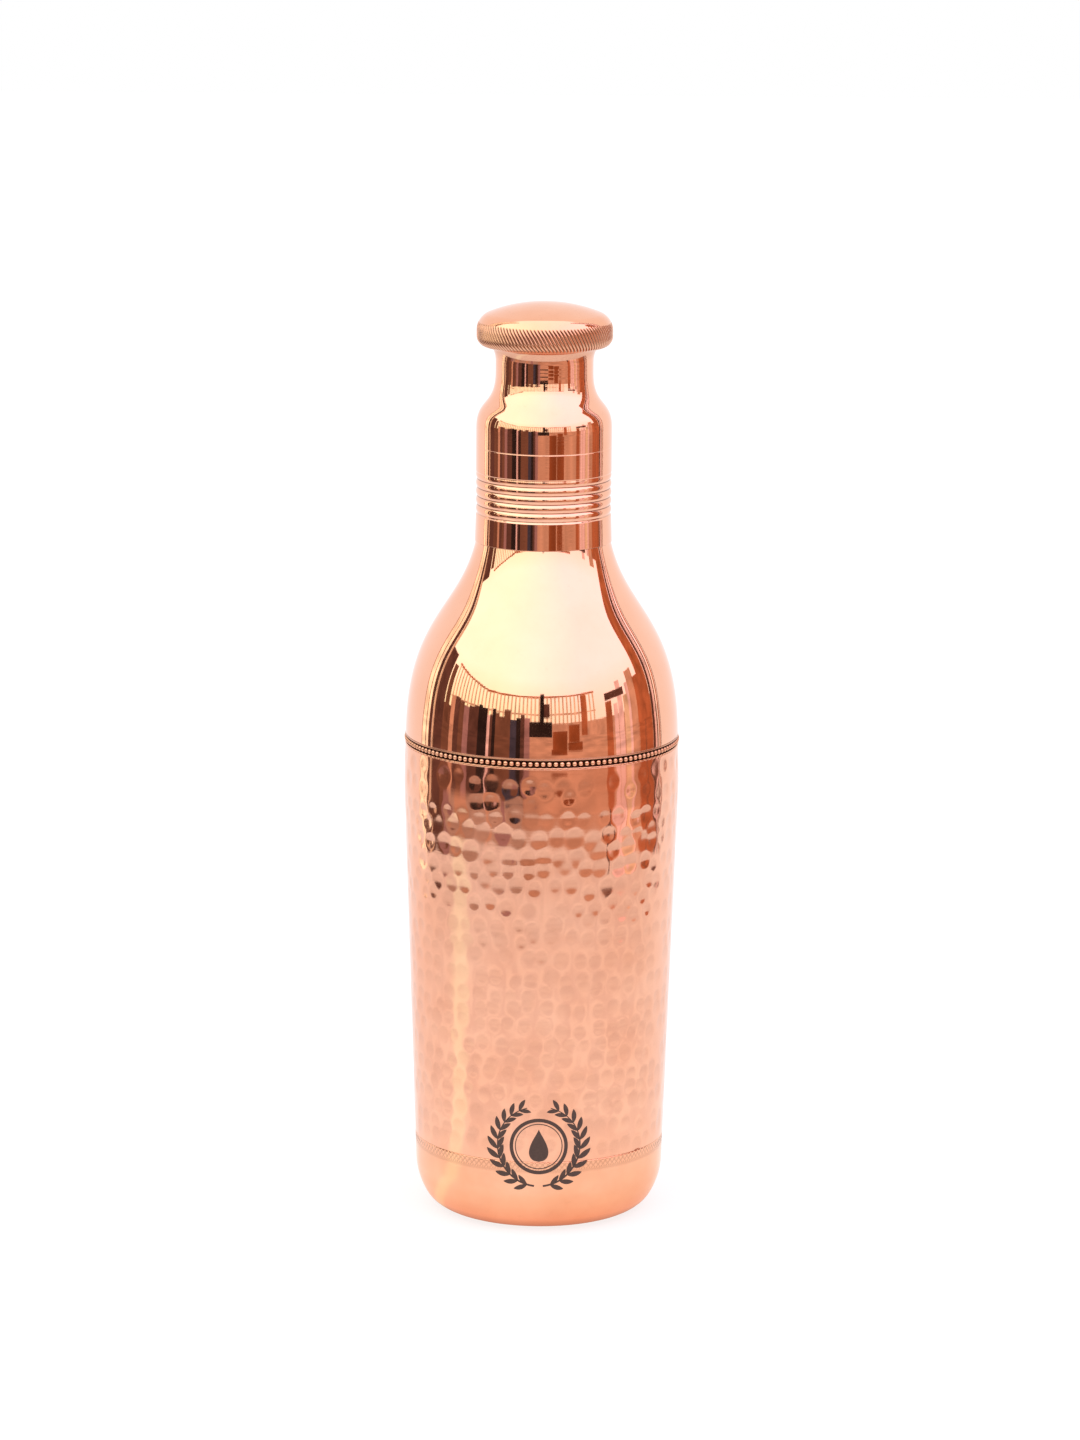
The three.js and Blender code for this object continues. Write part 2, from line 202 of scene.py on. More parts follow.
FOOT, BASE_RIM = levels("base_cup")
SPIGOT_LOW, SPIGOT_HIGH = levels("body_shell")
STRIP_LOW, STRIP_HIGH = levels("bead_ring")
SHOULDER_LOW, STUB_TOP = levels("shoulder_shell")
SLEEVE_LOW, LIP_TOP = levels("neck_sleeve")
BUSH_LOW, BUSH_TOP = levels("thread_bush")
SEAL_LOW, SEAL_TOP = levels("gasket")
CAP_LOW, CAP_TOP = levels("cap_shell")
PLUG_LOW, FLANGE_TOP = levels("cap_plug")

BELLY_RADIUS = widest("body_shell")
BODY_RADIUS = BELLY_RADIUS - BODY_TAPER
SEAM_RADIUS = BELLY_RADIUS - SEAM_LEAN
STRIP_RADIUS = widest("bead_ring")
SKIRT_RADIUS = widest("neck_sleeve")
COLLAR_RADIUS = SKIRT_RADIUS - SKIRT_SPREAD
RIB_RADIUS = COLLAR_RADIUS - RIB_INSET + RIB_RISE
RIB_FOOT = RIB_RADIUS - RIB_BULGE
LIP_RADIUS = widest("gasket")
NECK_RADIUS = LIP_RADIUS - LIP_FLARE
BUSH_RADIUS = widest("thread_bush")
BORE_RADIUS = BUSH_RADIUS - BUSH_WALL
FLANGE_RADIUS = widest("cap_plug")
PLUG_RADIUS = BORE_RADIUS - THREAD_GAP - THREAD_DEPTH
CAP_RADIUS = widest("cap_shell")

BODY_TOP = STRIP_LOW - 0.3
BELLY = BODY_TOP - BELLY_DROP
SHOULDER_TOP = STUB_TOP - STUB_LENGTH


def body_radius(z):
    """The body's outer radius: a cone up to the belly, then a slight lean in to the seam."""
    cone = BODY_RADIUS + BODY_TAPER * (z - HEEL_TOP) / (BELLY - HEEL_TOP)
    lean = BELLY_RADIUS - SEAM_LEAN * ((z - BELLY) / BELLY_DROP) ** 2
    return np.where(z < BELLY, cone, lean)


def on_wall(z, inward=0.0):
    """A point on the body's outer line at a height, or further in."""
    return [float(body_radius(z)) - inward, z]


# ---- lines ----


def arc(r, z, radius, start, end, steps):
    """Points on an arc about [r, z], from one angle to the other in degrees."""
    angles = np.radians(np.linspace(start, end, steps + 1))
    return np.c_[r + radius * np.cos(angles), z + radius * np.sin(angles)]


def sweep(start, handle_a, handle_b, end, steps):
    """Points on a cubic curve with two handles."""
    t = np.linspace(0, 1, steps + 1)[:, None]
    a, b, c, d = (np.array(p, float) for p in (start, handle_a, handle_b, end))
    return (1 - t) ** 3 * a + 3 * (1 - t) ** 2 * t * b + 3 * (1 - t) * t**2 * c + t**3 * d


def run(start, end, pitch):
    """Points on a straight stretch, about one pitch apart."""
    a, b = np.array(start, float), np.array(end, float)
    steps = max(1, round(float(np.hypot(*(b - a))) / pitch))
    return a + (b - a) * np.linspace(0, 1, steps + 1)[:, None]


def joined(*parts):
    """The parts as one line, without doubled points."""
    line = np.vstack([np.asarray(p, float).reshape(-1, 2) for p in parts])
    keep = np.r_[True, np.hypot(*np.diff(line, axis=0).T) > 1e-5]
    return line[keep]


def eased(ease, *corners):
    """A line with each inner corner rounded over the distance ease, and held flat beside it."""
    points = np.asarray(corners, float)
    t = np.linspace(0, 1, 5)[:, None]
    line = [points[:1]]
    for before, corner, after in zip(points, points[1:], points[2:]):
        back, ahead = before - corner, after - corner
        back_length, ahead_length = np.hypot(*back), np.hypot(*ahead)
        near = min(ease, back_length * 0.4, ahead_length * 0.4)
        start = corner + back / back_length * near
        end = corner + ahead / ahead_length * near
        bend = (1 - t) ** 2 * start + 2 * (1 - t) * t * corner + t**2 * end
        hold_in = start + back / back_length * near * 0.2
        hold_out = end + ahead / ahead_length * near * 0.2
        line += [hold_in[None], bend, hold_out[None]]
    return joined(*line, points[-1:])


def unit(rows):
    """Each row as a vector of length one."""
    return rows / np.hypot(*rows.T)[:, None]


def lengths(line):
    """How far along the line each point lies."""
    return np.r_[0, np.cumsum(np.hypot(*np.diff(line, axis=0).T))]


def normals(line, closed):
    """Unit normals of a line in its plane, to the right of its run."""
    ahead = np.roll(line, -1, axis=0) - line
    back = line - np.roll(line, 1, axis=0)
    if not closed:
        ahead[-1], back[0] = back[-1], ahead[0]
    along = unit(unit(ahead) + unit(back))
    return np.c_[along[:, 1], -along[:, 0]]


def inner_side(outer, wall, pitch=3.0):
    """The other side of a sheet, coming back, with points no closer than about one pitch."""
    moved = outer - normals(outer, False) * wall
    length = lengths(moved)
    picks = [0]
    for i in range(1, len(moved) - 1):
        if length[i] - length[picks[-1]] >= pitch:
            picks.append(i)
    return moved[picks + [len(moved) - 1]][::-1]


# ---- meshes ----


SHARP_EDGE = 50  # degrees: above this a bend is an edge


def mesh_of(name, points, faces, uvs, painted_shade=None):
    """A smooth mesh from points in millimetres. Edges sharper than SHARP_EDGE stay crisp."""
    mesh = bpy.data.meshes.new(name)
    mesh.from_pydata((np.asarray(points) * MM).tolist(), [], faces)
    layer = mesh.uv_layers.new(name="OFBake")
    layer.data.foreach_set("uv", np.asarray(uvs, np.float32).ravel())
    mesh.polygons.foreach_set("use_smooth", np.ones(len(mesh.polygons), bool))
    mesh.set_sharp_from_angle(angle=radians(SHARP_EDGE))
    # painted shade, one value per point
    layer = mesh.attributes.new("painted_shade", "FLOAT", "POINT")
    if painted_shade is not None:
        layer.data.foreach_set("value", np.asarray(painted_shade, np.float32).ravel())
    mesh.validate()
    return mesh


def turned_part(line, columns, relief=None, lean=None):
    """The points, faces, UVs and painted shade of a line turned about the axis. A line that starts on
    the axis also ends there; any other closes on itself. relief(angle, r, z) gives how far the
    surface rises and how much painted shade it carries, and lean is the angle by which each ring is
    turned."""
    closed = line[0, 0] > 1e-6
    side = normals(line, closed)
    rows = len(line)
    turn = np.arange(columns) * tau / columns
    angle = turn[None, :] + (np.zeros(rows) if lean is None else lean)[:, None]
    rise = np.zeros((rows, columns))
    painted_shade = np.zeros((rows, columns))
    if relief:
        rise, dark = relief(angle, line[:, :1], line[:, 1:])
        painted_shade = painted_shade + dark
    r = line[:, :1] + side[:, :1] * rise
    z = line[:, 1:] + side[:, 1:] * rise
    points = np.stack([r * np.cos(angle), r * np.sin(angle), z + 0 * angle], axis=-1)

    length = lengths(line)
    around = np.hypot(*(line[0] - line[-1])) if closed else 0.0
    v = length / (length[-1] + around)
    last = rows if closed else rows - 1
    i = np.repeat(np.arange(last), columns)
    j = np.tile(np.arange(columns), last)
    up = (i + 1) % rows
    right = (j + 1) % columns
    quads = np.c_[i * columns + j, i * columns + right, up * columns + right, up * columns + j]
    v_up = np.where(up > i, v[up], 1.0)
    u, u_right = j / columns, (j + 1) / columns
    uvs = np.stack([u, v[i], u_right, v[i], u_right, v_up, u, v_up], axis=-1).reshape(-1, 4, 2)

    points = points.reshape(-1, 3)
    painted_shade = painted_shade.reshape(-1)
    if closed:
        return points, quads.tolist(), uvs.reshape(-1, 2), painted_shade
    # Each end ring shrinks to one point on the axis.
    faces, corners = [], []
    top_ring = (rows - 1) * columns
    for quad, uv in zip(quads.tolist(), uvs.tolist()):
        if quad[0] < columns:
            faces.append([0, quad[2], quad[3]])
            corners += [uv[0], uv[2], uv[3]]
        elif quad[2] >= top_ring:
            faces.append([quad[0], quad[1], top_ring])
            corners += [uv[0], uv[1], uv[2]]
        else:
            faces.append(quad)
            corners += uv
    used = np.r_[0, np.arange(columns, top_ring + 1)]
    place = np.zeros(len(points), int)
    place[used] = np.arange(len(used))
    faces = [[int(place[k]) for k in face] for face in faces]
    return points[used], faces, corners, painted_shade[used]


def turned(name, line, columns, relief=None, lean=None):
    """A turned part as a mesh of its own."""
    return mesh_of(name, *turned_part(line, columns, relief, lean))


def merged(name, parts):
    """Several parts as one mesh."""
    faces, base = [], 0
    for points, part_faces, _, _ in parts:
        faces += [[base + k for k in face] for face in part_faces]
        base += len(points)
    points, _, uvs, painted_shade = zip(*parts)
    return mesh_of(name, np.vstack(points), faces, np.vstack(uvs), np.concatenate(painted_shade))


def placed(name, data):
    """A new object in the scene."""
    made = bpy.data.objects.new(name, data)
    bpy.context.scene.collection.objects.link(made)
    return made


def piece(name, mesh, material, body, slot, *nodes):
    """A finished piece: it rides on its body and stands for its CAD nodes."""
    made = placed(name, mesh)
    mesh.materials.append(material)
    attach(made, body)
    if nodes:
        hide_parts(*nodes)


# ---- materials ----


def colour(code):
    """A #RRGGBB sRGB colour as linear RGBA."""
    parts = [int(code[i : i + 2], 16) / 255 for i in (1, 3, 5)]
    linear = [c / 12.92 if c <= 0.04045 else ((c + 0.055) / 1.055) ** 2.4 for c in parts]
    return (*linear, 1.0)


def add(tree, kind, inputs=None, **settings):
    """Adds a node with its settings, and its inputs as values or links."""
    made = tree.nodes.new(kind)
    for name, value in settings.items():
        setattr(made, name, value)
    for key, value in (inputs or {}).items():
        if isinstance(value, bpy.types.NodeSocket):
            tree.links.new(value, made.inputs[key])
        else:
            made.inputs[key].default_value = value
    return made


def new_tree(name):
    """A new material's empty node tree."""
    material = bpy.data.materials.new(name)
    material.use_nodes = True
    material.node_tree.nodes.clear()
    return material, material.node_tree


def finish_tree(tree, shader):
    """Ends a tree with its shader."""
    add(tree, "ShaderNodeOutputMaterial", {"Surface": shader})


def object_place(tree):
    """A point's place in the object's own coordinates."""
    return add(tree, "ShaderNodeTexCoord").outputs["Object"]


def noise(tree, place, scale, detail, roughness=0.5):
    """Soft noise, mostly from 0.3 to 0.7."""
    inputs = {"Vector": place, "Scale": scale, "Detail": detail, "Roughness": roughness}
    return add(tree, "ShaderNodeTexNoise", inputs).outputs["Fac"]


def ranged(tree, value, low, high, start=0.0, end=1.0):
    """A value taken from one range to another, and held at its ends."""
    return add(tree, "ShaderNodeMapRange", {0: value, 1: low, 2: high, 3: start, 4: end}).outputs[0]


def maths(tree, operation, *values):
    """One sum on values or links."""
    return add(tree, "ShaderNodeMath", dict(enumerate(values)), operation=operation).outputs[0]


def mixed(tree, factor, first, second, blend="MIX"):
    """Two colours, mixed by a factor."""
    inputs = {0: factor, 6: first, 7: second}
    return add(tree, "ShaderNodeMix", inputs, data_type="RGBA", blend_type=blend).outputs[2]


def bump(tree, height, depth, under=None):
    """Fine relief of a depth in millimetres, over another relief if there is one."""
    inputs = {"Strength": 1.0, "Distance": depth * MM, "Height": height}
    if under is not None:
        inputs["Normal"] = under
    return add(tree, "ShaderNodeBump", inputs).outputs[0]


def rings_around(tree, place, stretch):
    """The place squeezed sideways, so that noise on it runs in lines around the axis."""
    inputs = {"Vector": place, "Scale": (stretch, stretch, 1.0)}
    return add(tree, "ShaderNodeMapping", inputs).outputs[0]


def surface(tree, inputs):
    """The shader, by its own sockets."""
    finish_tree(tree, add(tree, "ShaderNodeBsdfPrincipled", inputs).outputs[0])


COPPER_STAIN = "#8A5238"
# the dark colour of the painted shade
COPPER_PAINTED_SHADE = "#3A1D10"
PAINTED_SHADE_DULLS = 0.35  # how much rougher full painted shade makes the metal


def copper(name, base, deep, roughness, spread, marks, mark_pitch, ripple=0.0, stain=0.0):
    """Worked copper: warm and bright, with clouded colour, small stains, a gloss that wanders and
    tool lines around it. base and deep are its bright and warm tones, roughness and spread its
    gloss and how much that wanders, marks the depth of the tool lines and mark_pitch their pitch,
    in millimetres. ripple is a slow unevenness of the sheet and stain how much it has darkened in
    specks. The mesh's per-point attribute paints shade into grooves and other shaded places,
    and dulls them."""
    material, tree = new_tree(name)
    place = object_place(tree)
    clouds = ranged(tree, noise(tree, place, scale=38.0, detail=4.0, roughness=0.6), 0.3, 0.7)
    tone = mixed(tree, clouds, colour(base), colour(deep))
    specks = noise(tree, place, scale=420.0, detail=3.0, roughness=0.7)
    stained = mixed(tree, ranged(tree, specks, 0.62, 0.78, 0.0, stain), tone, colour(COPPER_STAIN))
    groove = add(tree, "ShaderNodeAttribute", attribute_name="painted_shade").outputs["Fac"]
    # painted shade: the mesh's per-point attribute mixes in a dark colour and dulls the gloss
    darkened = mixed(tree, groove, stained, colour(COPPER_PAINTED_SHADE))
    smear = noise(tree, place, scale=90.0, detail=5.0, roughness=0.65)
    gloss = ranged(tree, smear, 0.3, 0.7, roughness - spread, roughness + spread)
    dull = maths(tree, "MULTIPLY_ADD", groove, PAINTED_SHADE_DULLS, gloss)
    around = rings_around(tree, place, 0.04)
    line = noise(tree, around, scale=1 / (mark_pitch * MM), detail=3.0, roughness=0.6)
    lines = bump(tree, line, marks)
    waves = bump(tree, noise(tree, place, scale=55.0, detail=1.0, roughness=0.4), ripple, lines)
    surface(tree, {"Base Color": darkened, "Metallic": 1.0, "Roughness": dull, "Normal": waves})
    return material


def turned_brass():
    """Turned brass: yellow, with fine concentric tool lines that streak its gloss."""
    material, tree = new_tree("turned_brass")
    around = rings_around(tree, object_place(tree), 0.05)
    line = noise(tree, around, scale=2500.0, detail=3.0)
    tone = mixed(tree, line, colour("#E8C98A"), colour("#C79A52"))
    gloss = ranged(tree, line, 0.3, 0.7, 0.2, 0.34)
    lines = bump(tree, line, 0.02)
    surface(tree, {"Base Color": tone, "Metallic": 1.0, "Roughness": gloss, "Normal": lines})
    return material


def moulded_silicone():
    """Moulded silicone: matt, milky white, a little dusty."""
    material, tree = new_tree("moulded_silicone")
    dust = noise(tree, object_place(tree), scale=700.0, detail=4.0)
    inputs = {
        "Base Color": mixed(tree, dust, colour("#F3F1EB"), colour("#DFDCD3")),
        "Roughness": 0.5,
        "IOR": 1.41,
        "Subsurface Weight": 0.2,
        "Subsurface Scale": 0.5 * MM,
        "Normal": bump(tree, dust, 0.02),
    }
    surface(tree, inputs)
    return material


def pad_printed_ink():
    """Pad-printed brown ink: flat and thin, slightly uneven where the film is thinner."""
    material, tree = new_tree("pad_printed_ink")
    film = noise(tree, object_place(tree), scale=900.0, detail=3.0)
    tone = mixed(tree, film, colour("#3A2822"), colour("#4C372F"))
    surface(tree, {"Base Color": tone, "Roughness": 0.5, "IOR": 1.4})
    return material


MIRROR_COPPER = copper(
    "mirror_polished_spun_copper", "#F9C0A2", "#F6B897", 0.035, 0.012, 0.004, 1.1,
    ripple=0.03, stain=0.05,
)
NECK_COPPER = copper(
    "mirror_polished_turned_copper", "#F9C0A2", "#F5B594", 0.045, 0.015, 0.006, 0.5,
    ripple=0.01, stain=0.1,
)
HAMMERED_COPPER = copper(
    "hammered_buffed_copper", "#F9BEA0", "#F4B190", 0.075, 0.025, 0.003, 0.9, ripple=0.05, stain=0.08
)
BASE_COPPER = copper(
    "buffed_spun_copper", "#FABF9E", "#F4AF8A", 0.14, 0.03, 0.006, 0.7, ripple=0.08, stain=0.06
)
STRIP_COPPER = copper(
    "rolled_beaded_copper", "#F8BD9C", "#EBA882", 0.06, 0.03, 0.002, 0.6, ripple=0.01, stain=0.2
)
KNURLED_COPPER = copper(
    "knurled_polished_copper", "#F8BC9A", "#F0AA84", 0.07, 0.03, 0.004, 0.8, ripple=0.03, stain=0.12
)
BRASS = turned_brass()
SILICONE = moulded_silicone()
INK = pad_printed_ink()


# ---- base cup ----


def base_outline():
    """The base cup's outer line, from the middle of its underside to its rim."""
    heel_centre = BODY_RADIUS - HEEL_ROUND
    rise = HEEL_TOP - TOE_ROUND
    reach = sqrt((HEEL_ROUND - TOE_ROUND) ** 2 - rise**2)
    toe_centre = heel_centre + reach
    blend = -degrees(atan2(rise, reach))
    flat_start = toe_centre - FOOT_WIDTH
    under = eased(
        0.8, [0, DISH_DEPTH], [flat_start - DISH_SLOPE_WIDTH, DISH_DEPTH], [flat_start, FOOT],
        [toe_centre, FOOT],
    )
    toe = arc(toe_centre, TOE_ROUND, TOE_ROUND, -90, blend, 10)
    heel = arc(heel_centre, HEEL_TOP, HEEL_ROUND, blend, 0, 12)
    band_low = BASE_RIM - BAND_HEIGHT
    cone = run([BODY_RADIUS, HEEL_TOP], on_wall(band_low - 0.25), 0.8)
    band = run(on_wall(band_low), on_wall(BASE_RIM - RIM_CHAMFER), BAND_PITCH / 4)
    return joined(under, toe, heel, cone, band, on_wall(BASE_RIM, RIM_CHAMFER))


BASE_LINE = base_outline()


def band_relief(angle, r, z):
    """Two crossing sets of shallow rolled lines in the band, and a scribed line under it, with painted
    shade in both.
    """
    band_low = BASE_RIM - BAND_HEIGHT
    outside = r > BODY_RADIUS - 0.2
    inside_band = outside & (z > band_low + 0.2) & (z < BASE_RIM - 0.35)
    across = round(tau * BODY_RADIUS / BAND_PITCH) * angle / tau
    up = (z - band_low) / (BAND_PITCH * 1.2)
    near_a = np.abs((across + up) % 1 - 0.5)
    near_b = np.abs((across - up) % 1 - 0.5)
    line = np.clip(1 - np.minimum(0.5 - near_a, 0.5 - near_b) / BAND_LINE, 0, 1)
    scribed = outside & (np.abs(z - band_low) < 0.3)
    rise = -BAND_DEPTH * line * inside_band - 0.03 * scribed
    # painted shade in the rolled lines and the scribed line
    painted_shade = BAND_PAINTED_SHADE * line * inside_band + 0.16 * scribed
    return rise, painted_shade


def base_cup():
    """The spun base with its rolled band."""
    columns = 8 * round(tau * BODY_RADIUS / BAND_PITCH)
    line = joined(BASE_LINE, inner_side(BASE_LINE, WALL))
    line[-1, 0] = 0.0
    return turned("base", line, columns, relief=band_relief)


# ---- hammered body ----


def hammer_blows():
    """Every blow of the hammer as (angle, height, reach, depth), row by row from the seam down."""
    draw = random.Random(11)
    top, bottom = BODY_TOP - FIRST_BLOWS, BASE_RIM + LAST_BLOWS
    rows = int((top - bottom) / BLOW_PITCH) + 1
    blows = []
    for row in range(rows):
        ease = min(1.0, row / (rows * 0.45)) ** 0.6
        depth = DEEP_BLOW + (SHALLOW_BLOW - DEEP_BLOW) * ease
        missing = 0.25 if row < SPARSE_ROWS else 0.03
        start = draw.random()
        for k in range(BLOWS_AROUND):
            angle = tau * (k + start + draw.uniform(-0.2, 0.2)) / BLOWS_AROUND
            drift = 0.22 * sin(3 * angle + 1.7 * row)
            z = top - BLOW_PITCH * (row + drift + draw.uniform(-0.2, 0.2))
            reach = BLOW_REACH * draw.uniform(0.8, 1.14)
            strength = depth * draw.uniform(0.4, 1.25)
            if draw.random() > missing:
                blows.append((angle, z, reach, strength))
    return blows


BLOWS = hammer_blows()


def around_from(angle, centre, level):
    """How far around the body, in millimetres, angles lie from a blow's middle."""
    return ((angle - centre + pi) % tau - pi) * float(body_radius(level))


def body_relief(angle, r, z):
    """The hammer marks as shallow dishes that meet in soft ridges, with painted shade inside them,
    most at their upper edge. Each row's neighbours soften it."""
    turn, heights = angle[0], z[:, 0]
    outside = r[:, 0] > body_radius(heights) - 0.3
    rise = np.zeros(angle.shape)
    shade = np.zeros(angle.shape)
    for centre, level, reach, depth in BLOWS:
        rows = np.nonzero(outside & (np.abs(heights - level) < reach))[0]
        away = around_from(turn, centre, level)
        columns = np.nonzero(np.abs(away) < reach)[0]
        distance = away[columns][None, :] ** 2 + (heights[rows] - level)[:, None] ** 2
        dish = -depth * np.maximum(0, 1 - distance / reach**2)
        window = np.ix_(rows, columns)
        rise[window] = np.minimum(rise[window], dish)
        # painted shade, strongest towards each dish's upper edge
        upper = 0.75 + 0.75 * (heights[rows] - level)[:, None] / reach
        inside = DISH_SHADE * upper * np.clip(2.2 * (1 - distance / reach**2), 0, 1)
        shade[window] = np.maximum(shade[window], inside)
    soft = (rise + np.roll(rise, 1, 1) + np.roll(rise, -1, 1)) / 3
    softer = soft.copy()
    softer[1:-1] = (soft[:-2] + 2 * soft[1:-1] + soft[2:]) / 4
    return softer * outside[:, None], shade * outside[:, None]


def body_outline():
    """The body's outer line, with its stepped-in ends."""
    low, high = BASE_RIM + 0.08, STRIP_LOW + STRIP_LAP
    lower = eased(
        0.12, on_wall(SPIGOT_LOW, SEAM_STEP), on_wall(low, SEAM_STEP), on_wall(low), on_wall(low + 1)
    )
    heights = np.linspace(low + 1, high - 0.6, BODY_ROWS)
    wall = np.c_[body_radius(heights), heights]
    upper = eased(
        0.15, on_wall(high - 0.6), [SEAM_RADIUS, high], [SEAM_RADIUS - SEAM_STEP, high],
        [SEAM_RADIUS - SEAM_STEP - 0.1, SPIGOT_HIGH],
    )
    return joined(lower, wall, upper)


def hammered_body():
    """The tapered tube with its hammer marks."""
    outer = body_outline()
    line = joined(outer, inner_side(outer, WALL, pitch=12.0))
    return turned("hammered_body", line, BODY_COLUMNS, relief=body_relief)


# ---- beaded strip ----


def bead(angle, r, z):
    """One round bead of the strip, bright on top, with painted shade down its flanks."""
    out = np.array([cos(angle), sin(angle), 0])
    along = np.array([-sin(angle), cos(angle), 0])
    up = np.array([0, 0, 1.0])
    centre = out * r + up * z
    size = BEAD_SIZE / 2
    rounds, sides = 9, 12
    points = [centre + out * size]
    painted_shade = [0.0]
    for i in range(1, rounds):
        down = i / (rounds - 1)
        tilt = BEAD_SPAN * down
        for j in range(sides):
            spin = tau * j / sides
            sideways = along * cos(spin) + up * sin(spin)
            points.append(centre + size * (out * cos(tilt) + sideways * sin(tilt)))
            # painted shade down the bead's flanks
            painted_shade.append(min(1.0, max(0.0, (down - BEAD_UNSHADED) / 0.3)))
    faces = [[0, 1 + j, 1 + (j + 1) % sides] for j in range(sides)]
    for i in range(rounds - 2):
        a, b = 1 + i * sides, 1 + (i + 1) * sides
        faces += [[a + j, b + j, b + (j + 1) % sides, a + (j + 1) % sides] for j in range(sides)]
    back = 1 + (rounds - 2) * sides
    faces.append([back + j for j in reversed(range(sides))])
    uvs = [(angle / tau, 0.5)] * sum(len(face) for face in faces)
    return points, faces, uvs, painted_shade


def beaded_strip():
    """A strip with plain edges and a channel of round beads in painted shade. Its lower edge is a little
    wavy.
    """
    low, high = STRIP_LOW + 0.2, STRIP_HIGH - 0.15
    outer, floor = STRIP_RADIUS, STRIP_RADIUS - BEAD_FLOOR
    rails = eased(
        0.22, [floor - 0.3, low], [outer, low], [outer, low + RAIL_HEIGHT],
        [floor, low + RAIL_HEIGHT + 0.12], [floor, high - RAIL_HEIGHT - 0.12],
        [outer - 0.05, high - RAIL_HEIGHT], [outer - 0.05, high], [floor - 0.3, high],
    )

    def relief(angle, r, z):
        """Waves on the lower edge. Painted shade in the channel and on the upper edge."""
        lower_rail = (z < low + RAIL_HEIGHT) & (r > floor + 0.3)
        deep = np.clip((floor + 0.35 - r) / 0.35, 0, 1) * (r > floor - 0.05)
        upper_rail = (z > high - RAIL_HEIGHT) & (r > floor + 0.3)
        # painted shade: full in the channel, a little on the upper edge
        return 0.05 * np.sin(angle * BEADS) * lower_rail, np.maximum(deep, 0.3 * upper_rail)

    parts = [turned_part(rails, BEADS * 6, relief)]
    parts += [bead(tau * k / BEADS, floor + 0.12, (low + high) / 2) for k in range(BEADS)]
    return merged("beaded_strip", parts)


# ---- shoulder ----


def polished_shoulder():
    """One flowing curve from the seam up to the neck, then a plain stub inside the neck sleeve."""
    skirt = SEAM_RADIUS - SHOULDER_INSET
    throat = SKIRT_RADIUS - THROAT_GAP
    low = STRIP_HIGH - 0.1
    height = SHOULDER_TOP - SHOULDER_LOW
    curve = sweep(
        [skirt, SHOULDER_LOW], [skirt - SHOULDER_LEAN, SHOULDER_LOW + SHOULDER_FULLNESS * height],
        [throat + SHOULDER_FLARE, SHOULDER_TOP - SHOULDER_SWEEP * height], [throat, SHOULDER_TOP], 90,
    )
    edge = eased(0.2, [skirt - WALL * 0.8, low], [skirt, low], [skirt, SHOULDER_LOW])
    stub = eased(
        0.3, [throat, SHOULDER_TOP], [STUB_RADIUS, SHOULDER_TOP + 0.4], [STUB_RADIUS, STUB_TOP]
    )
    outer = joined(edge, curve, stub)
    return turned("polished_shoulder", joined(outer, inner_side(outer, WALL)), 256)


# ---- neck sleeve ----


def rib_line(bottom):
    """Rounded ribs with narrow grooves between them, and half a rib above and below."""
    line = []
    half = (RIB_PITCH - GROOVE_WIDTH) / 2
    for rib in range(RIBS + 1):
        middle = bottom + RIB_PITCH * (rib + 0.5)
        for t in np.linspace(-1, 1, RIB_STEPS + 1):
            line.append([RIB_RADIUS - RIB_BULGE * t**2, middle + half * t])
        if rib < RIBS:
            line.append([RIB_FOOT - GROOVE_DEPTH, middle + RIB_PITCH / 2])
    return np.array(line)


def neck_outline():
    """The neck sleeve's outer line, and where its narrow neck starts and ends."""
    ribs_bottom = SLEEVE_LOW + SKIRT_HEIGHT
    collar_low = ribs_bottom + RIBS * RIB_PITCH + RIB_PITCH / 2
    collar_top = collar_low + COLLAR_HEIGHT
    neck_low = collar_top + NECK_SHOULDER_HEIGHT
    neck_top = neck_low + NECK_LENGTH
    flare_top = neck_top + LIP_FLARE_HEIGHT
    low = SLEEVE_LOW - 0.15
    scribe = collar_low + SCRIBE_HEIGHT
    skirt = eased(
        0.12, [SKIRT_RADIUS - NECK_WALL, low], [SKIRT_RADIUS, low],
        [COLLAR_RADIUS - 0.02, ribs_bottom - 0.55], [COLLAR_RADIUS - 0.22, ribs_bottom - 0.35],
        [RIB_FOOT, ribs_bottom - 0.2],
    )
    ribs = rib_line(ribs_bottom)
    ribs = ribs[ribs[:, 1] < collar_low + 0.6]
    collar = eased(
        0.1, ribs[-1], [COLLAR_RADIUS - 0.14, collar_low + 0.85], [COLLAR_RADIUS, collar_low + 1.05],
        [COLLAR_RADIUS, scribe - 0.16], [COLLAR_RADIUS - SCRIBE_DEPTH, scribe],
        [COLLAR_RADIUS, scribe + 0.16], [COLLAR_RADIUS, collar_top],
    )
    shoulder = sweep(
        [COLLAR_RADIUS, collar_top], [COLLAR_RADIUS, collar_top + NECK_SHOULDER_DROP],
        [NECK_RADIUS, neck_low - NECK_SHOULDER_RISE], [NECK_RADIUS, neck_low], 70,
    )
    neck = run([NECK_RADIUS, neck_low], [NECK_RADIUS, neck_top], 0.2)
    flare = sweep(
        [NECK_RADIUS, neck_top], [NECK_RADIUS, neck_top + LIP_FLARE_HEIGHT / 2],
        [LIP_RADIUS - LIP_FLARE / 2, flare_top], [LIP_RADIUS - 0.15, flare_top], 16,
    )
    lip = arc(LIP_RADIUS - 0.5, LIP_TOP - 0.55, 0.5, -60, 90, 8)
    return joined(skirt, ribs, collar, shoulder, neck, flare, lip), neck_low, neck_top


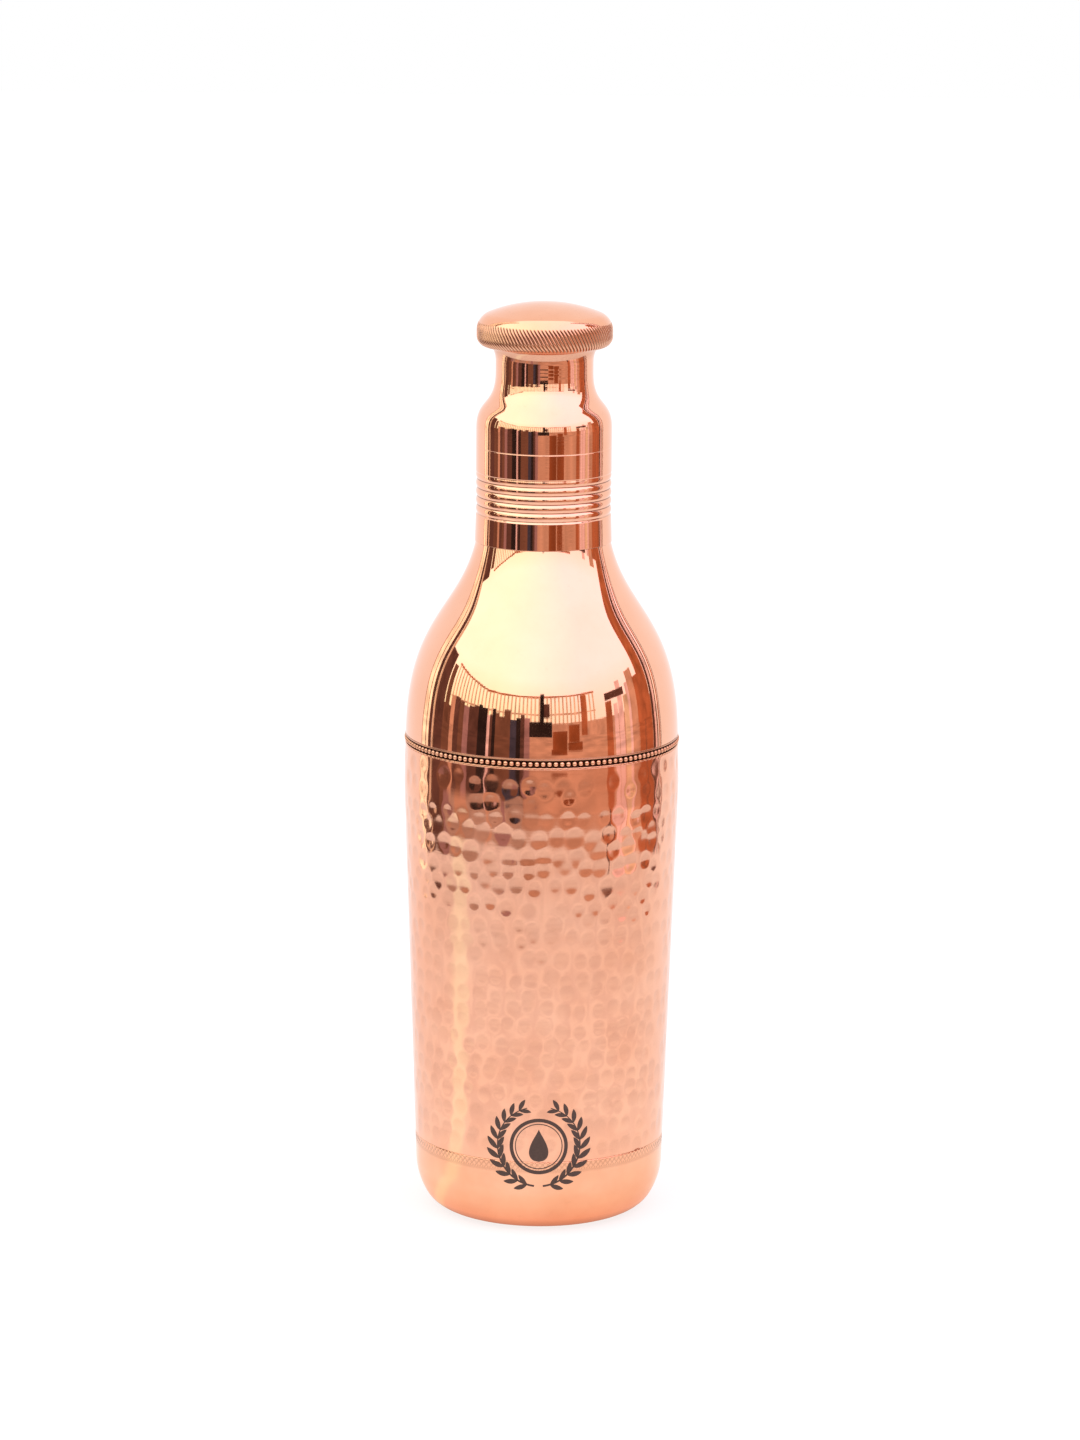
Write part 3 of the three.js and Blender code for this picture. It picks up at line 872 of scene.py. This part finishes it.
def spun_neck():
    """The neck piece: skirt, ribs, collar, narrow neck and flared lip."""
    outer, neck_low, neck_top = neck_outline()
    bore = NECK_RADIUS - NECK_WALL
    inside = [[bore + 0.3, LIP_TOP], [bore, LIP_TOP - 1.0], [bore, neck_low]]
    keep = outer[:, 1] < neck_low - 0.5
    back = inner_side(outer[keep], NECK_WALL)
    line = joined(outer, inside, back)
    ribs_low = SLEEVE_LOW + SKIRT_HEIGHT - 0.6
    marks_low, marks_high = neck_low - 6, neck_top + 1.5

    def relief(angle, r, z):
        """Tool marks on the narrow neck. Painted shade in the grooves and on the flare under the lip."""
        outside = r > bore + 0.3
        marks = (z > marks_low) & (z < marks_high) & outside
        fade = np.clip((z - marks_low) / 3, 0, 1)
        rise = -TOOL_MARK_DEPTH * (np.cos(tau * z / TOOL_MARK_PITCH) > 0.75) * marks * fade
        ribbed = (z > ribs_low) & (z < ribs_low + RIBBED_HEIGHT) & (r > COLLAR_RADIUS - NECK_WALL)
        # painted shade in the grooves between the ribs
        groove = np.clip((RIB_FOOT + 0.05 - r) / (GROOVE_DEPTH + 0.05), 0, 1)
        # painted shade on the flare under the cap's rim
        flare = np.clip((z - neck_top - 1.0) / 2.5, 0, 1) * outside
        return rise, GROOVE_PAINTED_SHADE * groove * ribbed + FLARE_PAINTED_SHADE * flare

    return turned("spun_neck", line, 224, relief=relief)


# ---- mouth thread, plug and seal ----


def thread_relief(radius, middle):
    """The relief of a right-hand thread on the wall at a radius, with ends that fade in."""
    half = THREAD_LEAD * THREAD_TURNS / 2

    def relief(angle, r, z):
        """The ridge on that wall only."""
        turns = (z - middle) / THREAD_LEAD - angle / tau
        nearest = turns - np.round(turns)
        drop = np.abs(nearest) * THREAD_LEAD
        ridge = np.clip((THREAD_FOOT_HALF - drop) / (THREAD_FOOT_HALF - THREAD_CREST_HALF), 0, 1)
        centre = z - nearest * THREAD_LEAD
        fade = np.clip((half - np.abs(centre - middle)) / (THREAD_LEAD / 4), 0, 1)
        wall = np.abs(r - radius) < 0.05
        return THREAD_DEPTH * ridge * fade * wall, np.zeros(1)

    return relief


THREAD_HALF = THREAD_LEAD * THREAD_TURNS / 2 + THREAD_FOOT_HALF
BUSH_THREAD = BUSH_TOP - THREAD_GAP - THREAD_HALF
PLUG_THREAD = BUSH_THREAD - THREAD_LEAD / 2


def mouth_thread():
    """The brass bush in the mouth, with its thread standing inwards."""
    top = BUSH_TOP
    outer = eased(
        0.2, [BORE_RADIUS, top - 0.5], [BORE_RADIUS + 0.3, top], [BUSH_RADIUS, top],
        [BUSH_RADIUS, BUSH_LOW], [BORE_RADIUS, BUSH_LOW], [BORE_RADIUS, BUSH_LOW + 0.5],
    )[::-1]
    bore = run([BORE_RADIUS, top - 0.5], [BORE_RADIUS, BUSH_LOW + 0.5], 0.16)[1:-1]
    return turned("mouth_thread", joined(outer, bore), 128, thread_relief(BORE_RADIUS, BUSH_THREAD))


def stopper():
    """The turned plug: a threaded hollow stem, closed below, and a flange that the cover holds."""
    flange_low = FLANGE_TOP - FLANGE_THICKNESS
    hollow = PLUG_RADIUS - PLUG_WALL
    foot = eased(
        0.3, [0, PLUG_LOW], [PLUG_RADIUS - PLUG_CHAMFER, PLUG_LOW],
        [PLUG_RADIUS, PLUG_LOW + PLUG_CHAMFER], [PLUG_RADIUS, PLUG_LOW + PLUG_CHAMFER + 0.3],
    )
    stem = run([PLUG_RADIUS, PLUG_LOW + PLUG_CHAMFER + 0.3], [PLUG_RADIUS, flange_low - 0.4], 0.16)
    head = eased(
        0.25, [PLUG_RADIUS, flange_low - 0.4], [PLUG_RADIUS, flange_low], [FLANGE_RADIUS, flange_low],
        [FLANGE_RADIUS, FLANGE_TOP], [hollow, FLANGE_TOP], [hollow, PLUG_LOW + PLUG_WALL],
        [0, PLUG_LOW + PLUG_WALL],
    )
    line = joined(foot, stem, head)
    return turned("stopper", line, 128, thread_relief(PLUG_RADIUS, PLUG_THREAD))


def seal_ring():
    """The flat soft ring between the flange and the lip, with rounded edges."""
    inner = PLUG_RADIUS + 0.5
    middle = (inner + LIP_RADIUS) / 2
    line = eased(
        0.4, [middle, SEAL_LOW], [LIP_RADIUS, SEAL_LOW], [LIP_RADIUS, SEAL_TOP], [inner, SEAL_TOP],
        [inner, SEAL_LOW], [middle - 0.5, SEAL_LOW],
    )
    return turned("seal_ring", line, 128)


# ---- cap cover ----


def cap_cover():
    """The pressed cover: a rolled lower edge, a knurled rim and a smooth shallow dome."""
    dome_centre = CAP_TOP - CAP_DOME_RADIUS
    edge_centre = CAP_RADIUS - CAP_EDGE_ROUND
    rise = sqrt((CAP_DOME_RADIUS - CAP_EDGE_ROUND) ** 2 - edge_centre**2)
    blend = degrees(atan2(rise, edge_centre))
    curl_centre = CAP_RADIUS - CAP_CURL_ROUND
    knurl_low = CAP_LOW + KNURL_BOTTOM
    knurl_high = knurl_low + KNURL_HEIGHT
    curl = arc(curl_centre, CAP_LOW + CAP_CURL_ROUND, CAP_CURL_ROUND, -90, 0, 18)
    upright = run([CAP_RADIUS, CAP_LOW + CAP_CURL_ROUND], [CAP_RADIUS, dome_centre + rise], 0.4)
    edge = arc(edge_centre, dome_centre + rise, CAP_EDGE_ROUND, 0, blend, 22)
    dome = arc(0, dome_centre, CAP_DOME_RADIUS, blend, 90, 12)
    outer = joined([[curl_centre - CAP_EDGE_FLAT, CAP_LOW]], curl, upright, edge, dome)
    outer[-1, 0] = 0.0
    inner = inner_side(outer[:-1], WALL, pitch=2.5)
    line = joined([[0, CAP_TOP - WALL]], inner, outer)
    turn = np.clip((line[:, 1] - knurl_low) / KNURL_HEIGHT, 0, 1)
    lean = -turn * KNURL_SHIFT / CAP_RADIUS
    columns = KNURL_LINES * len(KNURL_SECTION)

    def relief(angle, r, z):
        """The knurl's slanting grooves with painted shade inside, and the band a little darker, more so
        along its lower edge.
        """
        outside = np.arange(len(line))[:, None] > len(inner)
        fade = np.clip((z - knurl_low) / 0.35, 0, 1) * np.clip((knurl_high - z) / 0.35, 0, 1)
        groove = np.tile(KNURL_SECTION, KNURL_LINES)[None, :] * fade * outside
        lower_edge_dark = np.clip(1 - np.abs(z - knurl_low) / 0.8, 0, 1) * outside
        # painted shade in the grooves; the whole band and its lower edge a little darker
        painted_shade = 0.08 * fade * outside + KNURL_PAINTED_SHADE * groove + 0.16 * lower_edge_dark
        return -KNURL_DEPTH * groove, np.clip(painted_shade, 0, 1)

    return turned("cap_cover", line, columns, relief=relief, lean=lean)


# ---- printed mark ----


def ribbon(places, half_widths, across=4):
    """A flat strip along a line of [across, up] places, as wide as each place's half width twice."""
    places, half_widths = np.asarray(places, float), np.asarray(half_widths, float)
    along = unit(np.gradient(places, axis=0))
    side = np.c_[-along[:, 1], along[:, 0]]
    steps = np.linspace(-1, 1, across + 1)
    points = places[:, None] + side[:, None] * half_widths[:, None, None] * steps[None, :, None]
    row = across + 1
    starts = [i * row + j for i in range(len(places) - 1) for j in range(across)]
    return points.reshape(-1, 2), [(a, a + row, a + row + 1, a + 1) for a in starts]


def leaf(x, z, heading, size):
    """A pointed laurel leaf from its stalk at [x, z], along a heading in degrees."""
    t = np.linspace(0, 1, 9)
    bend = radians(heading) + 0.35 * (t - 0.5)
    steps = np.c_[np.cos(bend), np.sin(bend)] * LEAF_LENGTH * size / 8
    places = np.array([x, z]) + np.vstack([[0, 0], np.cumsum(steps[:-1], axis=0)])
    widths = LEAF_WIDTH * size / 2 * np.sin(pi * t) ** 0.8
    return ribbon(places, widths + 0.02)


def mark_strips():
    """The mark's strips: a ring, a water drop in it, and two laurel branches around it."""
    turn = np.radians(np.linspace(0, 360, 121))
    circle = np.c_[np.cos(turn), np.sin(turn)]
    t = np.linspace(0, 1, 33)
    drop = DROP_WIDTH * np.sqrt(t) * (1 - t) ** 1.25 + 0.02
    strips = [
        ribbon(circle * MARK_RING, np.full(len(turn), MARK_LINE), 2),
        ribbon(circle * (MARK_RING - 1.25), np.full(len(turn), MARK_THIN_LINE), 2),
        ribbon(np.c_[0 * t, DROP_FOOT + DROP_HEIGHT * t], drop, 8),
    ]
    for mirror in (1, -1):
        stem = np.radians(np.linspace(-84, 74, 61))
        places = WREATH_RADIUS * np.c_[mirror * np.cos(stem), np.sin(stem)]
        strips.append(ribbon(places, np.linspace(0.3, 0.12, 61), 2))
        for k in range(LEAF_PAIRS):
            place = FIRST_LEAF + LEAF_STEP * k
            size = 1.0 - 0.035 * abs(k - 4)
            for lean in (LEAF_LEAN, -LEAF_LEAN):
                heading = place + 90 + lean
                x = WREATH_RADIUS * cos(radians(place))
                z = WREATH_RADIUS * sin(radians(place))
                points, faces = leaf(x, z, heading, size * (0.9 if lean > 0 else 1.0))
                strips.append((points * [mirror, 1], faces))
    return strips


def surface_radius(angle, z):
    """The outside of the body and the base cup at a place, hammer marks included."""
    r = body_radius(z)
    heel = BODY_RADIUS - HEEL_ROUND + np.sqrt(np.maximum(0, HEEL_ROUND**2 - (z - HEEL_TOP) ** 2))
    r = np.where(z < HEEL_TOP, heel, r)
    sink = np.zeros(len(z))
    for centre, level, reach, depth in BLOWS:
        distance = around_from(angle, centre, level) ** 2 + (z - level) ** 2
        sink = np.maximum(sink, depth * np.maximum(0, 1 - distance / reach**2))
    return r - np.where(z > BASE_RIM, sink, 0)


def printed_mark():
    """The printed mark as a thin film that follows the metal."""
    points, faces = [], []
    for places, quads in mark_strips():
        base = len(points)
        points += places.tolist()
        faces += [tuple(base + k for k in quad) for quad in quads]
    flat = np.array(points)
    # Mirrored strips run the other way round, so each face is turned to look outwards.
    turned_faces = []
    for face in faces:
        a, b, c = (flat[face[k]] for k in (0, 1, 2))
        area = (b[0] - a[0]) * (c[1] - a[1]) - (b[1] - a[1]) * (c[0] - a[0])
        turned_faces.append(face if area > 0 else face[::-1])
    angle = flat[:, 0] / BODY_RADIUS - pi / 2
    z = flat[:, 1] + MARK_HEIGHT
    r = surface_radius(angle, z) + MARK_FILM
    solid = np.c_[r * np.cos(angle), r * np.sin(angle), z]
    span = WREATH_RADIUS + LEAF_LENGTH
    unit = flat / (2 * span) + 0.5
    uvs = [unit[k].tolist() for face in turned_faces for k in face]
    return mesh_of("printed_mark", solid, turned_faces, uvs)


# ---- the pieces in place ----

piece("base", base_cup(), BASE_COPPER, "bottle", "polished_copper", "base_cup")
piece("hammered_body", hammered_body(), HAMMERED_COPPER, "bottle", "hammered_copper", "body_shell")
piece("beaded_strip", beaded_strip(), STRIP_COPPER, "bottle", "beaded_copper", "bead_ring")
piece(
    "polished_shoulder", polished_shoulder(), MIRROR_COPPER, "bottle", "polished_copper", "shoulder_shell"
)
piece("spun_neck", spun_neck(), NECK_COPPER, "bottle", "polished_copper", "neck_sleeve")
piece("mouth_thread", mouth_thread(), BRASS, "bottle", "turned_brass", "thread_bush")
piece("seal_ring", seal_ring(), SILICONE, "seal", "silicone", "gasket")
piece("stopper", stopper(), BRASS, "cap", "turned_brass", "cap_plug")
piece("cap_cover", cap_cover(), KNURLED_COPPER, "cap", "knurled_copper", "cap_shell")
piece("printed_mark", printed_mark(), INK, "bottle", None)


# ---- studio ----

CAMERA_DISTANCE = 1.6401
CAMERA_PITCH = 11.69
CAMERA_ROLL = 0.43
CAMERA_LENS = 132.3
AIM = Vector((-0.0006, 0, 0.1546))

PAPER_REACH = 0.46  # where the white paper in front ends
PANEL_DISTANCE = 3.0
PANEL_EYE = 0.165  # height from which the panels' elevations are counted
GROUND = -90  # as a card's lower elevation: it stands on the ground and covers it
BACKDROP_BEARING = 118  # degrees from the front at which the paper backdrop starts on either side
BACKDROP_TINT = (1.06, 1.04, 1.06, 1)
FLOOR_REACH = 4.0


def studio_camera():
    """A long lens, a little above the bottle and in front of it."""
    data = bpy.data.cameras.new("camera")
    data.sensor_width = 36
    data.lens = CAMERA_LENS
    camera = placed("camera", data)
    pitch = radians(CAMERA_PITCH)
    camera.location = AIM + CAMERA_DISTANCE * Vector((0, -cos(pitch), sin(pitch)))
    camera.location.x = 0
    camera.rotation_euler = (AIM - camera.location).to_track_quat("-Z", "Y").to_euler()
    camera.rotation_euler.rotate_axis("Z", radians(CAMERA_ROLL))
    bpy.context.scene.camera = camera


def stage_object(name, points, faces, material, reflected_only):
    """A part of the stage. One that is only reflected is seen by nothing but the metal."""
    mesh = bpy.data.meshes.new(name)
    mesh.from_pydata(points, [], faces)
    mesh.materials.append(material)
    made = placed(name, mesh)
    if reflected_only:
        made.visible_camera = False
        made.visible_diffuse = False
        made.visible_shadow = False


def square(reach, level):
    """The corners of a level square about the axis."""
    return [(x * reach, y * reach, level) for x, y in ((-1, -1), (1, -1), (1, 1), (-1, 1))]


def floor():
    """A pale floor that stays near white under the bottle, with a faint shadow."""
    material, tree = new_tree("pale_floor")
    inputs = {
        "Base Color": (0.2, 0.19, 0.19, 1),
        "Roughness": 1.0,
        "Specular IOR Level": 0.0,
        "Emission Color": (1, 0.985, 0.975, 1),
        "Emission Strength": 0.8,
    }
    surface(tree, inputs)
    stage_object("floor", square(FLOOR_REACH, cad_low.z - 0.0002), [(0, 1, 2, 3)], material, False)


def bearing_of(tree, split):
    """The bearing of a direction or a place in radians: 0 in front, minus to the left."""
    ahead = maths(tree, "MULTIPLY", split.outputs[1], -1.0)
    return maths(tree, "ARCTAN2", split.outputs[0], ahead)


# The paper's tone by distance from the axis: a painted warm shadow at the bottle's foot, white, then
# dimmer.
PAPER_TONES = (
    (0.03, (0.45, 0.2, 0.12)),
    (0.0335, (0.97, 0.62, 0.49)),
    (0.042, (1.04, 0.88, 0.78)),
    (0.06, (1.07, 1.03, 1.0)),
    (0.1, (1.08, 1.07, 1.08)),
    (0.17, (1.07, 1.06, 1.07)),
    (0.25, (1.03, 1.01, 1.02)),
    (0.35, (0.97, 0.95, 0.96)),
    (0.46, (0.89, 0.86, 0.87)),
)
PAPER_LIGHT = (1.05, 1.04, 1.03, 1)
PAPER_CLOUDY = (0.93, 0.9, 0.91, 1)
PAPER_STREAK = (1.12, 1.25, 1.14, 1)
STREAK_BEARING = -1.1  # radians


def reflected_paper():
    """What the polished metal sees of the paper: a painted warm shadow right at the foot, white near it,
    dimmer further off, with faint cloudy patches and one bright yellowish streak to the left. Hammer
    marks show by them."""
    material, tree = new_tree("paper_glow")
    place = object_place(tree)
    split = add(tree, "ShaderNodeSeparateXYZ", {0: place})
    flat = add(tree, "ShaderNodeCombineXYZ", {0: split.outputs[0], 1: split.outputs[1]})
    length = add(tree, "ShaderNodeVectorMath", {0: flat.outputs[0]}, operation="LENGTH")
    away = length.outputs["Value"]
    ramp = add(tree, "ShaderNodeValToRGB", {0: away})
    stops = ramp.color_ramp.elements
    for stop, (position, tint) in zip(stops, (PAPER_TONES[0], PAPER_TONES[-1])):
        stop.position, stop.color = position, (*tint, 1)
    for position, tint in PAPER_TONES[1:-1]:
        stops.new(position).color = (*tint, 1)
    patches = ranged(tree, noise(tree, place, scale=26.0, detail=3.0, roughness=0.6), 0.45, 0.55)
    cloudy = maths(tree, "MULTIPLY", patches, ranged(tree, away, 0.09, 0.15, 0.25, 1.0))
    patched = mixed(tree, cloudy, PAPER_LIGHT, PAPER_CLOUDY)
    bearing = bearing_of(tree, split)
    wandering = maths(tree, "MULTIPLY_ADD", noise(tree, place, scale=9.0, detail=2.0), 0.3, bearing)
    off_streak = maths(tree, "ABSOLUTE", maths(tree, "ADD", wandering, -STREAK_BEARING))
    streak = ranged(tree, off_streak, 0.06, 0.16, 1.0, 0.0)
    tone = mixed(tree, 1.0, mixed(tree, streak, patched, PAPER_STREAK), ramp.outputs[0], "MULTIPLY")
    edge = radians(BACKDROP_BEARING)
    behind = ranged(tree, maths(tree, "ABSOLUTE", bearing), edge - 0.5, edge)
    plain = maths(tree, "MULTIPLY", behind, ranged(tree, away, 0.06, 0.25))
    backed = mixed(tree, plain, tone, BACKDROP_TINT)
    finish_tree(tree, add(tree, "ShaderNodeEmission", {"Color": backed, "Strength": 1.0}).outputs[0])
    paper = square(FLOOR_REACH, cad_low.z + 0.0004)
    stage_object("reflected_paper", paper, [(0, 1, 2, 3)], material, True)


def glow(name, tint):
    """A plain card colour, a little uneven."""
    material, tree = new_tree(name)
    cloud = noise(tree, object_place(tree), scale=3.0, detail=4.0)
    inputs = {"Color": (*tint, 1), "Strength": ranged(tree, cloud, 0.3, 0.7, 0.7, 1.3)}
    finish_tree(tree, add(tree, "ShaderNodeEmission", inputs).outputs[0])
    return material


TINTS = {
    "black": (0.03, 0.02, 0.02),
    "umber": (0.13, 0.065, 0.055),
    "brown": (0.2, 0.1, 0.07),
    "rust": (0.5, 0.17, 0.08),
    "ember": (0.3, 0.09, 0.035),
    "clay": (0.56, 0.4, 0.35),
    "tan": (0.66, 0.4, 0.3),
    "sand": (0.85, 0.66, 0.5),
    "mauve": (0.4, 0.24, 0.26),
    "pink": (0.95, 0.7, 0.75),
    "slate": (0.06, 0.06, 0.1),
    "cream": (1.5, 1.45, 1.2),
}
CARDS = {name: glow("card_" + name, tint) for name, tint in TINTS.items()}

# The camera on its stand, and boxes and drapes on the right: bearing, width, lower and upper
# elevation in degrees, tint and distance.
BOXES = (
    (0, 3.4, 2, 17.5, "black", 2.9), (2.5, 8, 5, 12, "umber", 2.92),
    (-1, 19, -3.1, 3.2, "black", 2.9), (15, 12, -7.5, -1.0, "ember", 1.25),
    (27, 9, -5, 1.5, "ember", 1.9), (36, 5, -3, 15, "rust", 2.85),
    (59, 6, GROUND, 9, "rust", 2.85), (66, 4, GROUND, 7, "pink", 2.85),
    (71, 5, GROUND, 17, "pink", 2.85), (77, 5, GROUND, 9, "sand", 2.85),
    (81, 5, GROUND, 14, "pink", 2.86), (86, 8, GROUND, 19, "tan", 2.85),
    (93, 9, GROUND, 14, "rust", 2.85), (100, 7, GROUND, 3, "umber", 2.85),
    (66, 20, 9.5, 13, "umber", 2.8),
)
# Tall posts where the backdrop begins: bearing, width, upper elevation and tint.
POSTS = (
    (-119.3, 0.8, 66, "rust"), (-116.3, 5, 66, "cream"),
    (-113.3, 0.9, 66, "brown"), (-111.3, 3, 66, "cream"),
    (-107.6, 4, 66, "umber"), (-104, 2.6, 45, "sand"),
    (-98, 11, 24, "umber"), (-89, 5, 20, "brown"),
    (101, 11, 46, "rust"), (97.5, 2, 38, "brown"),
    (108.5, 3, 66, "umber"), (111.2, 2, 66, "pink"),
    (113.4, 1.6, 66, "brown"), (116.6, 1.6, 66, "rust"),
    (118.6, 0.7, 66, "umber"),
)


def at_bearing(reach, bearing, height):
    """A place at a distance from the axis, a bearing in degrees and a height."""
    turn = radians(bearing)
    return (reach * sin(turn), -reach * cos(turn), height)


def panel(bearing, width, low, high, tint, distance=PANEL_DISTANCE):
    """A flat upright card at a bearing, in degrees, between two elevations. One that starts at
    GROUND also covers the ground in front of it, as far as the paper. Nearer ones lie higher."""
    sides = (bearing - width / 2, bearing + width / 2)
    top = PANEL_EYE + distance * tan(radians(high))
    level = cad_low.z + 0.0005 + 0.0006 * (PANEL_DISTANCE - distance + 0.1)
    bottom = level if low == GROUND else PANEL_EYE + distance * tan(radians(low))
    points = [at_bearing(distance, side, height) for height in (top, bottom) for side in sides]
    faces = [(0, 1, 3, 2)]
    if low == GROUND:
        points += [at_bearing(PAPER_REACH, side, level) for side in sides]
        faces.append((2, 3, 5, 4))
    stage_object("card", points, faces, CARDS[tint], True)


def ground_card(left, right, near, far, tint):
    """A flat card on the ground between two bearings in degrees and two distances."""
    corners = ((near, left), (near, right), (far, right), (far, left))
    points = [at_bearing(reach, bearing, cad_low.z + 0.0018) for reach, bearing in corners]
    stage_object("card", points, [(0, 1, 2, 3)], CARDS[tint], True)


def rail_top(bearing):
    """The rail's elevation: it comes nearer, so higher, on the left."""
    return 16.2 + 0.17 * max(0.0, -48 - bearing)


def surroundings():
    """Plain cards that stand for a terrace: cloths on a line, a low rail, boxes, two tall posts."""
    for bearing in range(-100, 116, 8):
        panel(bearing, 8.4, GROUND, 2.5, "tan" if bearing > -14 else "brown")
    for bearing in np.arange(-84, 46, 3.4).tolist():
        panel(bearing, 1.3, 2.5, rail_top(bearing) - 0.7, "sand", 2.95)
    for bearing in np.arange(-84, 46, 3.0).tolist():
        top = rail_top(bearing)
        panel(bearing, 3.1, top - 1.1, top, "rust", 2.96)
        panel(bearing, 3.1, 6.2, 6.9, "tan", 2.96)
    # cloths on the left
    draw = random.Random(5)
    bearing = -84.0
    while bearing < -14:
        width = draw.uniform(2.2, 5.5)
        tint = draw.choice(["umber", "mauve", "black", "brown", "slate", "tan", "umber", "pink"])
        panel(bearing + width / 2, width, GROUND, draw.uniform(3.5, 8.0), tint, 2.9)
        bearing += width
    # paler ground between the cloths and the paper
    draw = random.Random(9)
    for left in range(-88, -12, 6):
        tint = draw.choice(["clay", "clay", "tan", "mauve", "clay"])
        ground_card(left, left + 6.1, PAPER_REACH, 0.72, tint)
    # a thin dark bar on the paper, and darker ground further off on the right
    ground_card(55.5, 58.5, 0.415, 0.56, "umber")
    ground_card(8, 21, 0.98, 1.24, "ember")
    ground_card(22, 34, 1.15, 1.85, "ember")
    for box in BOXES:
        panel(*box)
    for bearing, width, top, tint in POSTS:
        panel(bearing, width, GROUND, top, tint, 2.75)


def studio_world():
    """White to the camera. The metal sees a bright sky in front, yellowish on the left and pinkish
    on the right, dimmer near the horizon, and a plain white backdrop behind."""
    world = bpy.data.worlds.new("studio")
    bpy.context.scene.world = world
    world.use_nodes = True
    tree = world.node_tree
    tree.nodes.clear()
    heading = add(tree, "ShaderNodeTexCoord").outputs["Generated"]
    split = add(tree, "ShaderNodeSeparateXYZ", {0: heading})
    aside, height = split.outputs[0], split.outputs[2]
    front = mixed(tree, ranged(tree, aside, -0.6, 0.5), (1.9, 1.98, 1.9, 1), (1.9, 1.62, 2.0, 1))
    haze = mixed(tree, ranged(tree, height, 0.1, 0.45), (0.75, 0.84, 0.68, 1), (1, 1, 1, 1))
    sky = mixed(tree, 1.0, front, haze, "MULTIPLY")
    turn = maths(tree, "ABSOLUTE", bearing_of(tree, split))
    edge = radians(BACKDROP_BEARING)
    beyond = ranged(tree, turn, edge - 0.02, edge + 0.02)
    below_top = ranged(tree, height, 0.86, 0.9, 1.0, 0.0)
    surround = mixed(tree, maths(tree, "MULTIPLY", beyond, below_top), sky, BACKDROP_TINT)
    light = add(tree, "ShaderNodeBackground", {"Color": surround, "Strength": 1.0}).outputs[0]
    plain = add(tree, "ShaderNodeBackground", {"Color": (1, 1, 1, 1), "Strength": 1.0}).outputs[0]
    camera_ray = add(tree, "ShaderNodeLightPath").outputs["Is Camera Ray"]
    shown = add(tree, "ShaderNodeMixShader", {0: camera_ray, 1: light, 2: plain}).outputs[0]
    add(tree, "ShaderNodeOutputWorld", {"Surface": shown})


studio_camera()
floor()
reflected_paper()
surroundings()
studio_world()
bpy.context.scene.view_settings.view_transform = "Standard"
